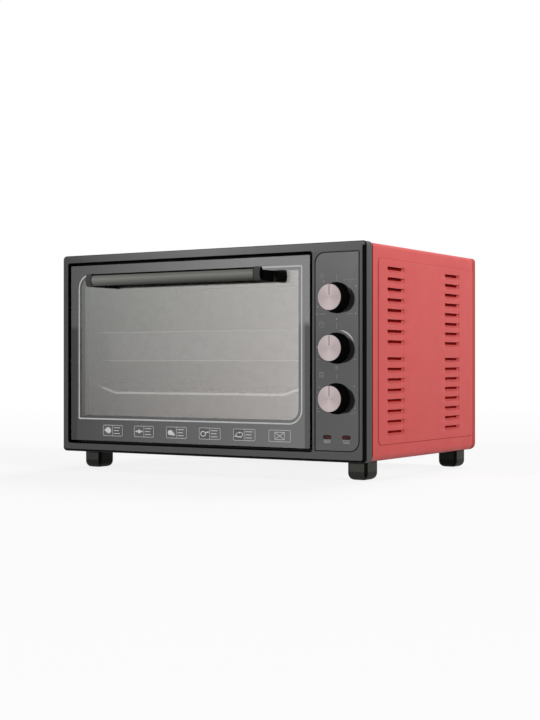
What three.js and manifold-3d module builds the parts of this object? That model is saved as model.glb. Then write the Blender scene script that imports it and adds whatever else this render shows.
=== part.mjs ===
// Counter-top mini oven: steel cabinet, drop-down glass door, three control knobs, wire rack and tray.
// Millimetres. +X is right as seen from the front, +Y is the back, +Z is up.
// The origin is on the surface that the feet stand on, in the middle of the oven's width and depth.
// Inside this file heights start at the cabinet's underside and depths at the front face of its frame.
import * as THREE from "three";
import { mergeVertices } from "three/addons/utils/BufferGeometryUtils.js";
import Module from "manifold-3d";

const wasm = await Module();
wasm.setup();

// Cabinet
const bodyWidth = 520;
const bodyHeight = 295;
const bodyDepth = 362.5;
const footHeight = 26;
const sheetThickness = 0.8;
const seatGap = 0.3;
const overrun = 5;

// Front frame: a moulded plate with a wall round its edge and a rim round the door
const frameDepth = 18.6;
const framePlateThickness = 3;
const frameWallThickness = 2.5;
const frameCornerRadius = 6;
const frameEdgeRadius = 3.5;
const openingSideMargin = 11.5;
const openingTopMargin = 12;
const openingBottomMargin = 13;
const openingCornerRadius = 3;
const controlBandWidth = 81.9;
const rimThickness = 2;

// Control panel: a thin plate let into the frame beside the door
const panelThickness = 1.2;
const panelDoorMargin = 5.6;
const panelSideMargin = 10.3;
const panelBottomMargin = 15.5;
const panelTopMargin = 14.5;
const panelCornerRadius = 13.5;
const panelSharpRadius = 0.5;

// Chassis collar behind the frame, and the oven's mouth in it
const chassisInset = 1.6;
const chassisThickness = 1.2;
const chassisSeam = 0.5;
const mouthSideMargin = 11.3;
const mouthBottomMargin = 17;
const mouthTopMargin = 13;
const chassisWindowMargin = 6;

// Oven cavity
const cavityRearMargin = 18.1;
const railFirstHeight = 72;
const railPitch = 38;
const railCount = 3;
const railWidth = 8;
const railThickness = 2;
const railFrontMargin = 23;
const railBackMargin = 46;

// Cabinet shell
const shellInset = 1.2;
const shellTopRadius = 5.5;
const shellBottomRadius = 10;
const shellRearRadius = 5;
const sideFlangeWidth = 14;
const embossFrontMargin = 17.2;
const embossRearMargin = 13.9;
const embossBottomMargin = 21.5;
const embossTopMargin = 20;
const embossCornerRadius = 7;

// Louvres pressed inward in two columns on each side
const louvreLength = 51;
const louvrePitch = 14.3;
const louvreOpening = 3.8;
const louvreDepth = 5;
const louvreSlope = 4.6;
const louvreLip = 1.1;
const louvreGroupGap = 23.1;
const louvreTopMargin = 11.2;
const louvreBottomMargin = 15;
const louvreFrontMargin = 51.4;
const louvreRearMargin = 75.1;

// Slots in the back and bottom sheets
const ventWidth = 5;
const ventLength = 32;
const ventPitch = 26;
const ventBevel = 1.5;
const ventSideMargin = 130;
const ventEdgeMargin = 58;
const bottomVentFrontMargin = 110;
const bottomVentRearMargin = 110;

// Feet
const footWidth = 30;
const footDepth = 34;
const footSideInset = 16;
const footFrontInset = 33;
const footRearInset = 6.5;
const footCornerRadius = 8;
const footEdgeRadius = 5;
const footPegRadius = 4;
const footPegLength = 5;

// Heating rods with a flange outside each cavity wall
const heaterRadius = 3.25;
const heaterTopDrop = 18;
const heaterBottomRise = 15;
const heaterDepthShares = [0.28, 0.68];
const heaterFlangeRadius = 7;
const heaterFlangeThickness = 2;
const heaterTerminalLength = 8;
const heaterTerminalRadius = 2;

// Door: a full-face pane in front of a folded steel frame
const doorGap = 3.6;
const doorRecess = 1.7;
const glassThickness = 4;
const glassCornerRadius = 2;
const doorFrameInset = 2;
const doorFrameWall = 1.2;
const doorCollarGap = 0.6;
const windowLeftMargin = 21.1;
const windowRightMargin = 18.3;
const windowTopMargin = 19.5;
const windowBottomMargin = 38.2;
const windowCornerRadius = 8;
const hingeStripHeight = 10.5;
const hingeStripDepth = 12.2;
const hingeRise = 8;
const hingeSetback = 7.5;
const hingePinRadius = 2.4;
const hingePinReach = 1;

// Handle: a tube between two end brackets
const handleEndMargin = 58.2;
const handleBarRadius = 9.75;
const handleWall = 2;
const handleStandoff = 26.7;
const handleDrop = 25;
const handleCollarLength = 10;
const handlePegLength = 8;
const handleEndRound = 2;
const armHeight = 15.6;
const armDrop = 3.9;
const handleScrewRadius = 2.2;
const handleScrewHeadRadius = 4.5;
const handleScrewHeadHeight = 2.4;
const handleScrewGrip = 10;

// Knobs, their shafts and the switches behind them
const knobSideInset = 43.5;
const knobTopInset = 75;
const knobBottomInset = 85.2;
const knobShares = [0, 0.5, 1];
const knobGap = 0.8;
const knobSkirtRadius = 20.75;
const knobSkirtThickness = 3.2;
const knobWaistRadius = 18.6;
const knobWaistHeight = 7;
const knobCapRadius = 17.8;
const knobHeight = 18.4;
const knobCapThickness = 1.2;
const knobCapChamfer = 0.4;
const knobBoreDepth = 13;
const shaftRadius = 3;
const shaftFlat = 1.5;
const shaftInnerReach = 12;
const unitWidth = 36;
const unitHeight = 38;
const unitDepth = 20;
const unitNeckRadius = 4.8;
const unitNeckRecess = 0.2;
const unitCanRadius = 15;
const unitCanDepth = 6;
const unitTabWidth = 6.3;
const unitTabThickness = 0.8;
const unitTabLength = 8;
const unitTabShares = [-0.6, 0, 0.6];

// Indicator lenses
const lampWidth = 12.5;
const lampHeight = 5;
const lampSpacing = 29.3;
const lampRise = 18;
const lampProud = 0.2;
const lampHolderMargin = 1.6;
const lampHolderDepth = 9;

// Wire rack
const rackWireRadius = 2.5;
const rackCrossRadius = 1.6;
const rackWeldSink = 0.5;
const rackPitch = 24;
const rackSideMargin = 3.5;
const rackFrontMargin = 12.6;
const rackBackMargin = 20;
const rackDrop = 16;
const rackRampRun = 49.5;
const rackBendRadius = 9;
const rackJointGap = 1;
const rackBeadRadius = 3.1;

// Baking tray
const trayRimGap = 1.8;
const trayRimWidth = 10;
const trayRimThickness = 1.2;
const trayWall = 0.8;
const trayDepth = 46;
const trayFrontMargin = 9.6;
const trayBackMargin = 16;
const trayCornerRadius = 24;

// Cord gland and the screws of the back sheet
const glandSideInset = 70;
const glandRise = 45;
const glandFlangeRadius = 12;
const glandFlangeThickness = 3;
const glandNoseRadius = 8;
const glandNoseLength = 8;
const glandNeckRadius = 7;
const glandNeckLength = 5;
const glandBoreRadius = 3.6;
const glandNoseTaperShare = 0.8;
const screwHeadRadius = 4;
const screwHeadHeight = 2.2;
const screwRadius = 1.8;
const screwLength = 8;
const screwInset = 9;
const screwCrownShare = 0.7;

// Numbers of sides and steps of round shapes
const arcSteps = 2;
const edgeSteps = 3;
const smallSides = 12;
const wireSides = 8;
const crossSides = 6;
const barSides = 28;
const knobSides = 36;
const unitSides = 16;
const bendSteps = 3;

// Places worked out from the sizes above
const frameLeft = -bodyWidth / 2;
const frameRight = bodyWidth / 2;
const openingLeft = frameLeft + openingSideMargin;
const openingRight = frameRight - controlBandWidth;
const openingBottom = openingBottomMargin;
const openingTop = bodyHeight - openingTopMargin;
const chassisFront = frameDepth + seatGap;
const chassisBack = chassisFront + chassisThickness;
const shellFront = chassisBack + chassisSeam;
const mouthLeft = openingLeft + mouthSideMargin;
const mouthRight = openingRight - mouthSideMargin;
const mouthBottom = openingBottom + mouthBottomMargin;
const mouthTop = openingTop - mouthTopMargin;
const cavityFront = chassisBack + seatGap;
const cavityBack = bodyDepth - cavityRearMargin;
const shellHalfWidth = bodyWidth / 2 - shellInset;
const shellTop = bodyHeight - shellInset;
const seamX = bodyWidth / 2 - sideFlangeWidth;
const doorLeft = openingLeft + doorGap;
const doorRight = openingRight - doorGap;
const doorBottom = openingBottom + doorGap;
const doorTop = openingTop - doorGap;
const doorMiddle = (doorLeft + doorRight) / 2;
const handleLength = doorRight - doorLeft - 2 * handleEndMargin;
const glassBack = doorRecess + glassThickness;
const doorFrameFront = glassBack + seatGap;
const doorFrameBack = chassisFront - doorCollarGap;
const hingeY = doorRecess + hingeSetback;
const hingeZ = doorBottom + hingeRise;
const handleY = doorRecess - handleStandoff;
const handleZ = doorTop - handleDrop;
const knobX = frameRight - knobSideInset;
const panelLeft = openingRight + panelDoorMargin;
const panelRight = frameRight - panelSideMargin;
const panelTop = bodyHeight - panelTopMargin;
const unitFront = framePlateThickness + seatGap;
const lampZ = panelBottomMargin + lampRise;
const glandEnd = bodyDepth + seatGap + glandFlangeThickness + glandNoseLength;
const frontmost = handleY - handleBarRadius;

const unitX = new THREE.Vector3(1, 0, 0);
const unitY = new THREE.Vector3(0, 1, 0);
const unitZ = new THREE.Vector3(0, 0, 1);

// A drawn outline becomes a prism along one axis; along Y its depth runs towards the front
const prismBasis = {
  x: new THREE.Matrix4().makeBasis(unitY, unitZ, unitX),
  y: new THREE.Matrix4().makeBasis(unitX, unitZ, unitY.clone().negate()),
  z: new THREE.Matrix4(),
};

// A turned profile has its own axis along Y
const turnBasis = {
  x: new THREE.Matrix4().makeBasis(unitZ, unitX, unitY),
  y: new THREE.Matrix4(),
  z: new THREE.Matrix4().makeBasis(unitY, unitZ, unitX),
};

function solidFrom(geometry) {
  geometry.deleteAttribute("normal");
  geometry.deleteAttribute("uv");
  const merged = mergeVertices(geometry);
  const corners = merged.index.array;
  const kept = [];
  for (let start = 0; start < corners.length; start += 3) {
    const [a, b, c] = corners.slice(start, start + 3);
    if (a !== b && b !== c && c !== a) {
      kept.push(a, b, c);
    }
  }
  return new wasm.Manifold(new wasm.Mesh({
    numProp: 3,
    vertProperties: new Float32Array(merged.attributes.position.array),
    triVerts: new Uint32Array(kept),
  }));
}

function geometryFrom(solid) {
  const mesh = solid.getMesh();
  const geometry = new THREE.BufferGeometry();
  geometry.setAttribute("position", new THREE.BufferAttribute(mesh.vertProperties, mesh.numProp));
  geometry.setIndex(new THREE.BufferAttribute(mesh.triVerts, 1));
  geometry.computeVertexNormals();
  return geometry;
}

function along(axis, distance) {
  const shift = { x: 0, y: 0, z: 0 };
  shift[axis] = distance;
  return shift;
}

function prism(axis, shape, low, high) {
  const geometry = new THREE.ExtrudeGeometry(shape, {
    depth: high - low,
    bevelEnabled: false,
    curveSegments: arcSteps,
  });
  geometry.applyMatrix4(prismBasis[axis]);
  const shift = along(axis, axis === "y" ? high : low);
  geometry.translate(shift.x, shift.y, shift.z);
  return solidFrom(geometry);
}

// The same prism with both ends rounded over; the outline given is the one before the rounding swells it
function softPrism(axis, shape, low, high, radius) {
  const geometry = new THREE.ExtrudeGeometry(shape, {
    depth: high - low - 2 * radius,
    bevelEnabled: true,
    bevelThickness: radius,
    bevelSize: radius,
    bevelSegments: edgeSteps,
    curveSegments: arcSteps,
  });
  geometry.applyMatrix4(prismBasis[axis]);
  const shift = along(axis, axis === "y" ? high - radius : low + radius);
  geometry.translate(shift.x, shift.y, shift.z);
  return solidFrom(geometry);
}

function block(low, high) {
  const geometry = new THREE.BoxGeometry(high[0] - low[0], high[1] - low[1], high[2] - low[2]);
  geometry.translate((low[0] + high[0]) / 2, (low[1] + high[1]) / 2, (low[2] + high[2]) / 2);
  return solidFrom(geometry);
}

// A profile of [radius, place along the axis] points, turned about an axis that passes through centre
function turned(axis, centre, profile, sides) {
  const points = profile.map(([radius, place]) => new THREE.Vector2(radius, place));
  if (THREE.ShapeUtils.isClockWise(points)) {
    points.reverse();
  }
  points.push(points[0].clone());
  const geometry = new THREE.LatheGeometry(points, sides);
  geometry.applyMatrix4(turnBasis[axis]);
  geometry.translate(centre[0], centre[1], centre[2]);
  return solidFrom(geometry);
}

function rod(axis, centre, low, high, radius, sides) {
  return turned(axis, centre, [[0, low], [radius, low], [radius, high], [0, high]], sides);
}

// Radii go lower left, lower right, upper right, upper left
function roundedRect(low, high, radii) {
  const [left, bottom] = low;
  const [right, top] = high;
  const [first, second, third, fourth] = radii;
  const corners = [
    [left + first, bottom + first, first, Math.PI],
    [right - second, bottom + second, second, -Math.PI / 2],
    [right - third, top - third, third, 0],
    [left + fourth, top - fourth, fourth, Math.PI / 2],
  ];
  const shape = new THREE.Shape();
  corners.forEach(([u, v, radius, angle], index) => {
    if (radius > 0) {
      shape.absarc(u, v, radius, angle, angle + Math.PI / 2);
    } else if (index === 0) {
      shape.moveTo(u, v);
    } else {
      shape.lineTo(u, v);
    }
  });
  shape.closePath();
  return shape;
}

function evenRect(low, high, radius) {
  return roundedRect(low, high, [radius, radius, radius, radius]);
}

function polygon(points) {
  return new THREE.Shape(points.map(([u, v]) => new THREE.Vector2(u, v)));
}

function insetRect(low, high, inset) {
  return [[low[0] + inset, low[1] + inset], [high[0] - inset, high[1] - inset]];
}

function joined(solids) {
  return solids.reduce((whole, next) => whole.add(next));
}

function cutBy(solid, cutters) {
  return cutters.reduce((whole, next) => whole.subtract(next), solid);
}

// A path that a wire's section follows, with one ring of the section at each station
class StationPath extends THREE.Curve {
  constructor(stations) {
    super();
    this.stations = stations;
  }

  getPointAt(share, target = new THREE.Vector3()) {
    return target.copy(this.stations[Math.round(share * (this.stations.length - 1))]);
  }

  getTangentAt(share, target = new THREE.Vector3()) {
    const last = this.stations.length - 1;
    const index = Math.round(share * last);
    const here = this.stations[index];
    target.set(0, 0, 0);
    if (index > 0) {
      target.add(here.clone().sub(this.stations[index - 1]).normalize());
    }
    if (index < last) {
      target.add(this.stations[index + 1].clone().sub(here).normalize());
    }
    return target.normalize();
  }
}

function bentStations(corners, radius) {
  const stations = [corners[0]];
  for (let index = 1; index < corners.length - 1; index += 1) {
    const corner = corners[index];
    const back = corners[index - 1].clone().sub(corner).normalize();
    const ahead = corners[index + 1].clone().sub(corner).normalize();
    const half = back.angleTo(ahead) / 2;
    const middle = back.clone().add(ahead).normalize();
    const centre = corner.clone().addScaledVector(middle, radius / Math.sin(half));
    const start = corner.clone().addScaledVector(back, radius / Math.tan(half)).sub(centre);
    const end = corner.clone().addScaledVector(ahead, radius / Math.tan(half)).sub(centre);
    const sweep = start.angleTo(end);
    for (let step = 0; step <= bendSteps; step += 1) {
      const share = step / bendSteps;
      const arm = start.clone().multiplyScalar(Math.sin((1 - share) * sweep));
      arm.addScaledVector(end, Math.sin(share * sweep)).divideScalar(Math.sin(sweep));
      stations.push(centre.clone().add(arm));
    }
  }
  stations.push(corners[corners.length - 1]);
  return stations;
}

function wire(stations, radius) {
  const section = new THREE.Shape();
  section.absarc(0, 0, radius, 0, 2 * Math.PI);
  const geometry = new THREE.ExtrudeGeometry(section, {
    steps: stations.length - 1,
    extrudePath: new StationPath(stations),
    curveSegments: wireSides / 2,
  });
  return solidFrom(geometry);
}

const finishes = {
  graphite_plastic: { color: 0x5b5b59, roughness: 0.42, metalness: 0 },
  panel_plastic: { color: 0x61615f, roughness: 0.4, metalness: 0 },
  red_enamel: { color: 0xc95c5a, roughness: 0.5, metalness: 0 },
  dark_steel: { color: 0x1d1e1c, roughness: 0.5, metalness: 0.4 },
  galvanised_steel: { color: 0x9b9c99, roughness: 0.42, metalness: 0.85 },
  tray_enamel: { color: 0x2a2a2c, roughness: 0.35, metalness: 0 },
  chrome_wire: { color: 0xc4c4c2, roughness: 0.2, metalness: 1 },
  heater_sheath: { color: 0x3c3a38, roughness: 0.55, metalness: 0.7 },
  door_glass: { color: 0x6f706e, roughness: 0.05, metalness: 0, transparent: true, opacity: 0.45 },
  handle_metal: { color: 0x4b4c48, roughness: 0.36, metalness: 0.6 },
  black_plastic: { color: 0x0d0d0d, roughness: 0.45, metalness: 0 },
  foot_plastic: { color: 0x2b2927, roughness: 0.6, metalness: 0 },
  knob_silver: { color: 0xbbadad, roughness: 0.3, metalness: 0.9 },
  plated_steel: { color: 0xa9a9a6, roughness: 0.3, metalness: 0.9 },
  switch_plastic: { color: 0xd8d2c4, roughness: 0.6, metalness: 0 },
  red_lens: { color: 0x6a1514, roughness: 0.2, metalness: 0 },
};

const oven = new THREE.Group();
oven.position.set(0, -(frontmost + glandEnd) / 2, footHeight);

function addPiece(name, finish, solid) {
  const mesh = new THREE.Mesh(geometryFrom(solid), new THREE.MeshStandardMaterial(finishes[finish]));
  mesh.name = name;
  oven.add(mesh);
}

const knobRun = bodyHeight - knobTopInset - knobBottomInset;
const knobHeights = knobShares.map((share) => bodyHeight - knobTopInset - share * knobRun);
const lampCentres = [-1, 1].map((side) => knobX + side * lampSpacing / 2);

// Front frame
function lampSlot(centre, front, back, margin) {
  const low = [centre - lampWidth / 2 - margin, lampZ - lampHeight / 2 - margin];
  const high = [centre + lampWidth / 2 + margin, lampZ + lampHeight / 2 + margin];
  return prism("y", evenRect(low, high, lampHeight / 2 + margin), front, back);
}

function frontHoles() {
  const holeRadius = unitNeckRadius + seatGap;
  const neckHoles = knobHeights.map((height) =>
    rod("y", [knobX, 0, height], -overrun, framePlateThickness + overrun, holeRadius, unitSides));
  const lampHoles = lampCentres.map((centre) =>
    lampSlot(centre, -overrun, framePlateThickness + overrun, seatGap));
  return [...neckHoles, ...lampHoles];
}

function panelShape(margin) {
  const low = [panelLeft - margin, panelBottomMargin - margin];
  const high = [panelRight + margin, panelTop + margin];
  const sharp = panelSharpRadius + margin;
  return roundedRect(low, high, [sharp, panelCornerRadius + margin, sharp, panelCornerRadius + margin]);
}

function frontFrame() {
  const [low, high] = insetRect([frameLeft, 0], [frameRight, bodyHeight], frameEdgeRadius);
  const outline = evenRect(low, high, frameCornerRadius - frameEdgeRadius);
  const back = frameDepth + frameEdgeRadius + overrun;
  const whole = softPrism("y", outline, 0, back, frameEdgeRadius);
  const behind = block([frameLeft - overrun, frameDepth, -overrun],
    [frameRight + overrun, back + overrun, bodyHeight + overrun]);
  const [innerLow, innerHigh] = insetRect([frameLeft, 0], [frameRight, bodyHeight], frameWallThickness);
  const hollow = prism("y", evenRect(innerLow, innerHigh, frameCornerRadius - frameWallThickness),
    framePlateThickness, frameDepth + overrun);
  const rim = prism("y", evenRect([openingLeft - rimThickness, openingBottom - rimThickness],
    [openingRight + rimThickness, openingTop + rimThickness], openingCornerRadius + rimThickness),
  framePlateThickness / 2, frameDepth);
  const opening = prism("y", evenRect([openingLeft, openingBottom], [openingRight, openingTop],
    openingCornerRadius), -overrun, frameDepth + overrun);
  const recess = prism("y", panelShape(seatGap), -overrun, panelThickness + seatGap);
  const pinHole = rod("x", [0, hingeY, hingeZ], openingLeft - rimThickness - overrun,
    openingRight + rimThickness + overrun, hingePinRadius + seatGap, smallSides);
  const hollowed = whole.subtract(behind).subtract(hollow).add(rim);
  return cutBy(hollowed, [opening, recess, pinHole, ...frontHoles()]);
}

function controlPanel() {
  return cutBy(prism("y", panelShape(0), 0, panelThickness), frontHoles());
}

// Chassis collar
function chassisCollar() {
  const low = [frameLeft + chassisInset, chassisInset];
  const high = [frameRight - chassisInset, bodyHeight - chassisInset];
  const outline = roundedRect(low, high,
    [shellBottomRadius, shellBottomRadius, shellTopRadius, shellTopRadius]);
  const plate = prism("y", outline, chassisFront, chassisBack);
  const mouth = block([mouthLeft, chassisFront - overrun, mouthBottom],
    [mouthRight, chassisBack + overrun, mouthTop]);
  const window = block(
    [openingRight + rimThickness + chassisWindowMargin, chassisFront - overrun, mouthBottom],
    [frameRight - frameWallThickness - chassisWindowMargin, chassisBack + overrun, mouthTop]);
  return plate.subtract(mouth).subtract(window);
}

// Cavity sheets
const heaterHeights = [mouthTop - heaterTopDrop, mouthBottom + heaterBottomRise];
const heaterDepths = heaterDepthShares.map((share) => cavityFront + share * (cavityBack - cavityFront));

function heaterHoles() {
  const holes = [];
  heaterHeights.forEach((height) => {
    heaterDepths.forEach((depth) => {
      holes.push(rod("x", [0, depth, height], mouthLeft - overrun, mouthRight + overrun,
        heaterRadius + seatGap, wireSides));
    });
  });
  return holes;
}

function railTop(level) {
  return mouthBottom + railFirstHeight + level * railPitch;
}

function cavityWall(side) {
  const inner = side > 0 ? mouthRight : mouthLeft;
  const outer = inner + side * sheetThickness;
  const ledge = inner - side * railWidth;
  const wall = block([Math.min(inner, outer), cavityFront, mouthBottom + seatGap],
    [Math.max(inner, outer), cavityBack - seatGap, mouthTop - seatGap]);
  const rails = [];
  for (let level = 0; level < railCount; level += 1) {
    rails.push(block([Math.min(outer, ledge), cavityFront + railFrontMargin, railTop(level) - railThickness],
      [Math.max(outer, ledge), cavityBack - railBackMargin, railTop(level)]));
  }
  return cutBy(joined([wall, ...rails]), heaterHoles());
}

function cavityPlate(low, high) {
  return block([mouthLeft - sheetThickness, cavityFront, low],
    [mouthRight + sheetThickness, cavityBack - seatGap, high]);
}

function cavityBackSheet() {
  return block([mouthLeft - sheetThickness, cavityBack, mouthBottom - sheetThickness],
    [mouthRight + sheetThickness, cavityBack + sheetThickness, mouthTop + sheetThickness]);
}

function heater(depth, height) {
  const leftSeat = mouthLeft - sheetThickness - seatGap;
  const rightSeat = mouthRight + sheetThickness + seatGap;
  return turned("x", [0, depth, height], [
    [0, leftSeat - heaterFlangeThickness - heaterTerminalLength],
    [heaterTerminalRadius, leftSeat - heaterFlangeThickness - heaterTerminalLength],
    [heaterTerminalRadius, leftSeat - heaterFlangeThickness],
    [heaterFlangeRadius, leftSeat - heaterFlangeThickness],
    [heaterFlangeRadius, leftSeat],
    [heaterRadius, leftSeat],
    [heaterRadius, rightSeat],
    [heaterFlangeRadius, rightSeat],
    [heaterFlangeRadius, rightSeat + heaterFlangeThickness],
    [heaterTerminalRadius, rightSeat + heaterFlangeThickness],
    [heaterTerminalRadius, rightSeat + heaterFlangeThickness + heaterTerminalLength],
    [0, rightSeat + heaterFlangeThickness + heaterTerminalLength],
  ], wireSides);
}

// Cabinet shell, made whole and then parted into its sheets
function shellBody(inset) {
  const low = [-shellHalfWidth + inset, inset];
  const high = [shellHalfWidth - inset, shellTop - inset];
  const edge = shellRearRadius - inset;
  const [innerLow, innerHigh] = insetRect(low, high, edge);
  const top = shellTopRadius - inset - edge;
  const bottom = shellBottomRadius - inset - edge;
  const outline = roundedRect(innerLow, innerHigh, [bottom, bottom, top, top]);
  return softPrism("y", outline, shellFront - edge - overrun - inset, bodyDepth - inset, edge);
}

const shell = shellBody(0).subtract(shellBody(sheetThickness)).subtract(
  block([frameLeft, -frameDepth, -overrun], [frameRight, shellFront, bodyHeight + overrun]));

function shellRegion(low, high) {
  return shell.intersect(block(low, high));
}

const embossFront = shellFront + embossFrontMargin;
const embossRear = bodyDepth - embossRearMargin;
const embossTop = bodyHeight - embossTopMargin;
const louvreTop = embossTop - louvreTopMargin;
const louvreRun = louvreTop - embossBottomMargin - louvreBottomMargin;
const louvreRows = Math.floor((louvreRun - louvreGroupGap) / 2 / louvrePitch) + 1;
const louvreColumns = [embossFront + louvreFrontMargin, embossRear - louvreRearMargin];

function louvreTops() {
  const tops = [];
  const groupStep = (louvreRows - 1) * louvrePitch + louvreGroupGap;
  for (let group = 0; group < 2; group += 1) {
    for (let row = 0; row < louvreRows; row += 1) {
      tops.push(louvreTop - group * groupStep - row * louvrePitch);
    }
  }
  return tops;
}

// Points of a louvre's outline are [distance in from the sheet's face, height below the slot's top edge]
function louvrePrism(side, top, points, front, back) {
  const outline = points.map(([inward, drop]) => [side * (bodyWidth / 2 - inward), top - drop]);
  return prism("y", polygon(outline), front, back);
}

function louvreCut(side, top, centre) {
  const toe = louvreOpening + louvreSlope;
  const slope = louvreSlope / louvreDepth;
  const points = [
    [-shellInset, 0],
    [louvreDepth, 0],
    [louvreDepth, louvreOpening],
    [-shellInset, toe + slope * shellInset],
  ];
  return louvrePrism(side, top, points, centre - louvreLength / 2, centre + louvreLength / 2);
}

// The pressed-in flap and its end walls, as one wedge before the slot is cut out of it
function louvreWedge(side, top, centre) {
  const toe = louvreOpening + louvreSlope;
  const root = sheetThickness / 2;
  const reach = louvreLength / 2 + louvreLip;
  const points = [
    [root, 0],
    [louvreDepth, louvreOpening],
    [louvreDepth, louvreOpening + louvreLip],
    [root, toe + louvreLip],
  ];
  return louvrePrism(side, top, points, centre - reach, centre + reach);
}

function sidePanel(side) {
  const outer = side * bodyWidth;
  const inner = side * (seamX);
  const low = [Math.min(inner, outer), 0, -overrun];
  const high = [Math.max(inner, outer), bodyDepth + overrun, bodyHeight + overrun];
  const sheet = shellRegion(low, high);
  const face = side * bodyWidth / 2;
  const raised = evenRect([embossFront, embossBottomMargin], [embossRear, embossTop], embossCornerRadius);
  const hollow = evenRect([embossFront + sheetThickness, embossBottomMargin + sheetThickness],
    [embossRear - sheetThickness, embossTop - sheetThickness], embossCornerRadius - sheetThickness);
  const seat = face - side * (shellInset + sheetThickness / 2);
  const skin = face - side * sheetThickness;
  const depth = face - side * (shellInset + sheetThickness + overrun);
  const emboss = prism("x", raised, Math.min(face, seat), Math.max(face, seat));
  const pocket = prism("x", hollow, Math.min(skin, depth), Math.max(skin, depth));
  const cuts = [];
  const wedges = [];
  louvreColumns.forEach((centre) => {
    louvreTops().forEach((top) => {
      cuts.push(louvreCut(side, top, centre));
      wedges.push(louvreWedge(side, top, centre));
    });
  });
  return cutBy(joined([sheet.add(emboss).subtract(pocket), ...wedges]), cuts);
}

function slotRow(axis, count, firstPlace, secondPlace, depthLow, depthHigh) {
  const halfWidth = ventWidth / 2;
  const halfLength = ventLength / 2;
  const slots = [];
  for (let index = 0; index < count; index += 1) {
    const u = firstPlace + index * ventPitch;
    const outline = polygon([
      [u - halfWidth, secondPlace - halfLength + ventBevel],
      [u - halfWidth + ventBevel, secondPlace - halfLength],
      [u + halfWidth - ventBevel, secondPlace - halfLength],
      [u + halfWidth, secondPlace - halfLength + ventBevel],
      [u + halfWidth, secondPlace + halfLength - ventBevel],
      [u + halfWidth - ventBevel, secondPlace + halfLength],
      [u - halfWidth + ventBevel, secondPlace + halfLength],
      [u - halfWidth, secondPlace + halfLength - ventBevel],
    ]);
    slots.push(prism(axis, outline, depthLow, depthHigh));
  }
  return slots;
}

const ventCount = Math.floor((bodyWidth - 2 * ventSideMargin) / ventPitch) + 1;
const ventStart = -(ventCount - 1) * ventPitch / 2;
const screwX = seamX - seatGap - screwInset;
const screwMargin = sideFlangeWidth + seatGap + screwInset;
const screwHeights = [screwMargin, bodyHeight - screwMargin];
const glandX = frameRight - glandSideInset;

function backPanel() {
  const edge = seamX - seatGap;
  const sheet = shellRegion([-edge, bodyDepth - shellRearRadius, sideFlangeWidth + seatGap],
    [edge, bodyDepth + overrun, bodyHeight - sideFlangeWidth - seatGap]);
  const low = bodyDepth - overrun;
  const high = bodyDepth + overrun;
  const rows = [ventEdgeMargin, bodyHeight - ventEdgeMargin].flatMap((height) =>
    slotRow("y", ventCount, ventStart, height, low, high));
  const screwHoles = [-screwX, screwX].flatMap((x) => screwHeights.map((height) =>
    rod("y", [x, 0, height], low, high, screwRadius + seatGap, smallSides)));
  const glandHole = rod("y", [glandX, 0, glandRise], low, high, glandNeckRadius + seatGap, unitSides);
  return cutBy(sheet, [...rows, ...screwHoles, glandHole]);
}

function topCover() {
  const edge = seamX - seatGap;
  return shellRegion([-edge, 0, bodyHeight - sideFlangeWidth],
    [edge, bodyDepth + overrun, bodyHeight + overrun]);
}

const footX = bodyWidth / 2 - footSideInset - footWidth / 2;
const footPlaces = [footFrontInset + footDepth / 2, bodyDepth - footRearInset - footDepth / 2];

function bottomPanel() {
  const edge = seamX - seatGap;
  const sheet = shellRegion([-edge, 0, -overrun], [edge, bodyDepth + overrun, sideFlangeWidth]);
  const low = -overrun;
  const high = sheetThickness + overrun;
  const rows = [bottomVentFrontMargin, bodyDepth - bottomVentRearMargin].flatMap((depth) =>
    slotRow("z", ventCount, ventStart, depth, low, high));
  const pegHoles = [-footX, footX].flatMap((x) => footPlaces.map((depth) =>
    rod("z", [x, depth, 0], low, high, footPegRadius + seatGap, smallSides)));
  return cutBy(sheet, [...rows, ...pegHoles]);
}

function foot(x, depth) {
  const [low, high] = insetRect([x - footWidth / 2, depth - footDepth / 2],
    [x + footWidth / 2, depth + footDepth / 2], footEdgeRadius);
  const outline = evenRect(low, high, footCornerRadius - footEdgeRadius);
  const whole = softPrism("z", outline, -footHeight, footEdgeRadius + overrun, footEdgeRadius);
  const above = block([x - footWidth, depth - footDepth, -seatGap],
    [x + footWidth, depth + footDepth, footEdgeRadius + 2 * overrun]);
  const peg = rod("z", [x, depth, 0], -footHeight / 2, footPegLength, footPegRadius, smallSides);
  return whole.subtract(above).add(peg);
}

// Cord gland and back screws
function cordGland() {
  const seat = bodyDepth + seatGap;
  const neckEnd = bodyDepth - sheetThickness - glandNeckLength;
  return turned("y", [glandX, 0, glandRise], [
    [glandBoreRadius, neckEnd],
    [glandNeckRadius, neckEnd],
    [glandNeckRadius, seat],
    [glandFlangeRadius, seat],
    [glandFlangeRadius, seat + glandFlangeThickness],
    [glandNoseRadius, seat + glandFlangeThickness],
    [glandNoseRadius * glandNoseTaperShare, glandEnd],
    [glandBoreRadius, glandEnd],
  ], unitSides);
}

function backScrew(x, height) {
  const seat = bodyDepth + seatGap;
  return turned("y", [x, 0, height], [
    [0, seat - screwLength],
    [screwRadius, seat - screwLength],
    [screwRadius, seat],
    [screwHeadRadius, seat],
    [screwHeadRadius * screwCrownShare, seat + screwHeadHeight],
    [0, seat + screwHeadHeight],
  ], smallSides);
}

// Door
const armX = [doorMiddle - handleLength / 2 + handleCollarLength / 2,
  doorMiddle + handleLength / 2 - handleCollarLength / 2];
const armZ = handleZ - armDrop;

function doorGlass() {
  const outline = evenRect([doorLeft, doorBottom], [doorRight, doorTop], glassCornerRadius);
  const pane = prism("y", outline, doorRecess, glassBack);
  const holeRadius = handleScrewRadius + seatGap;
  const holes = armX.map((x) =>
    rod("y", [x, 0, armZ], doorRecess - overrun, glassBack + overrun, holeRadius, smallSides));
  return cutBy(pane, holes);
}

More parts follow.
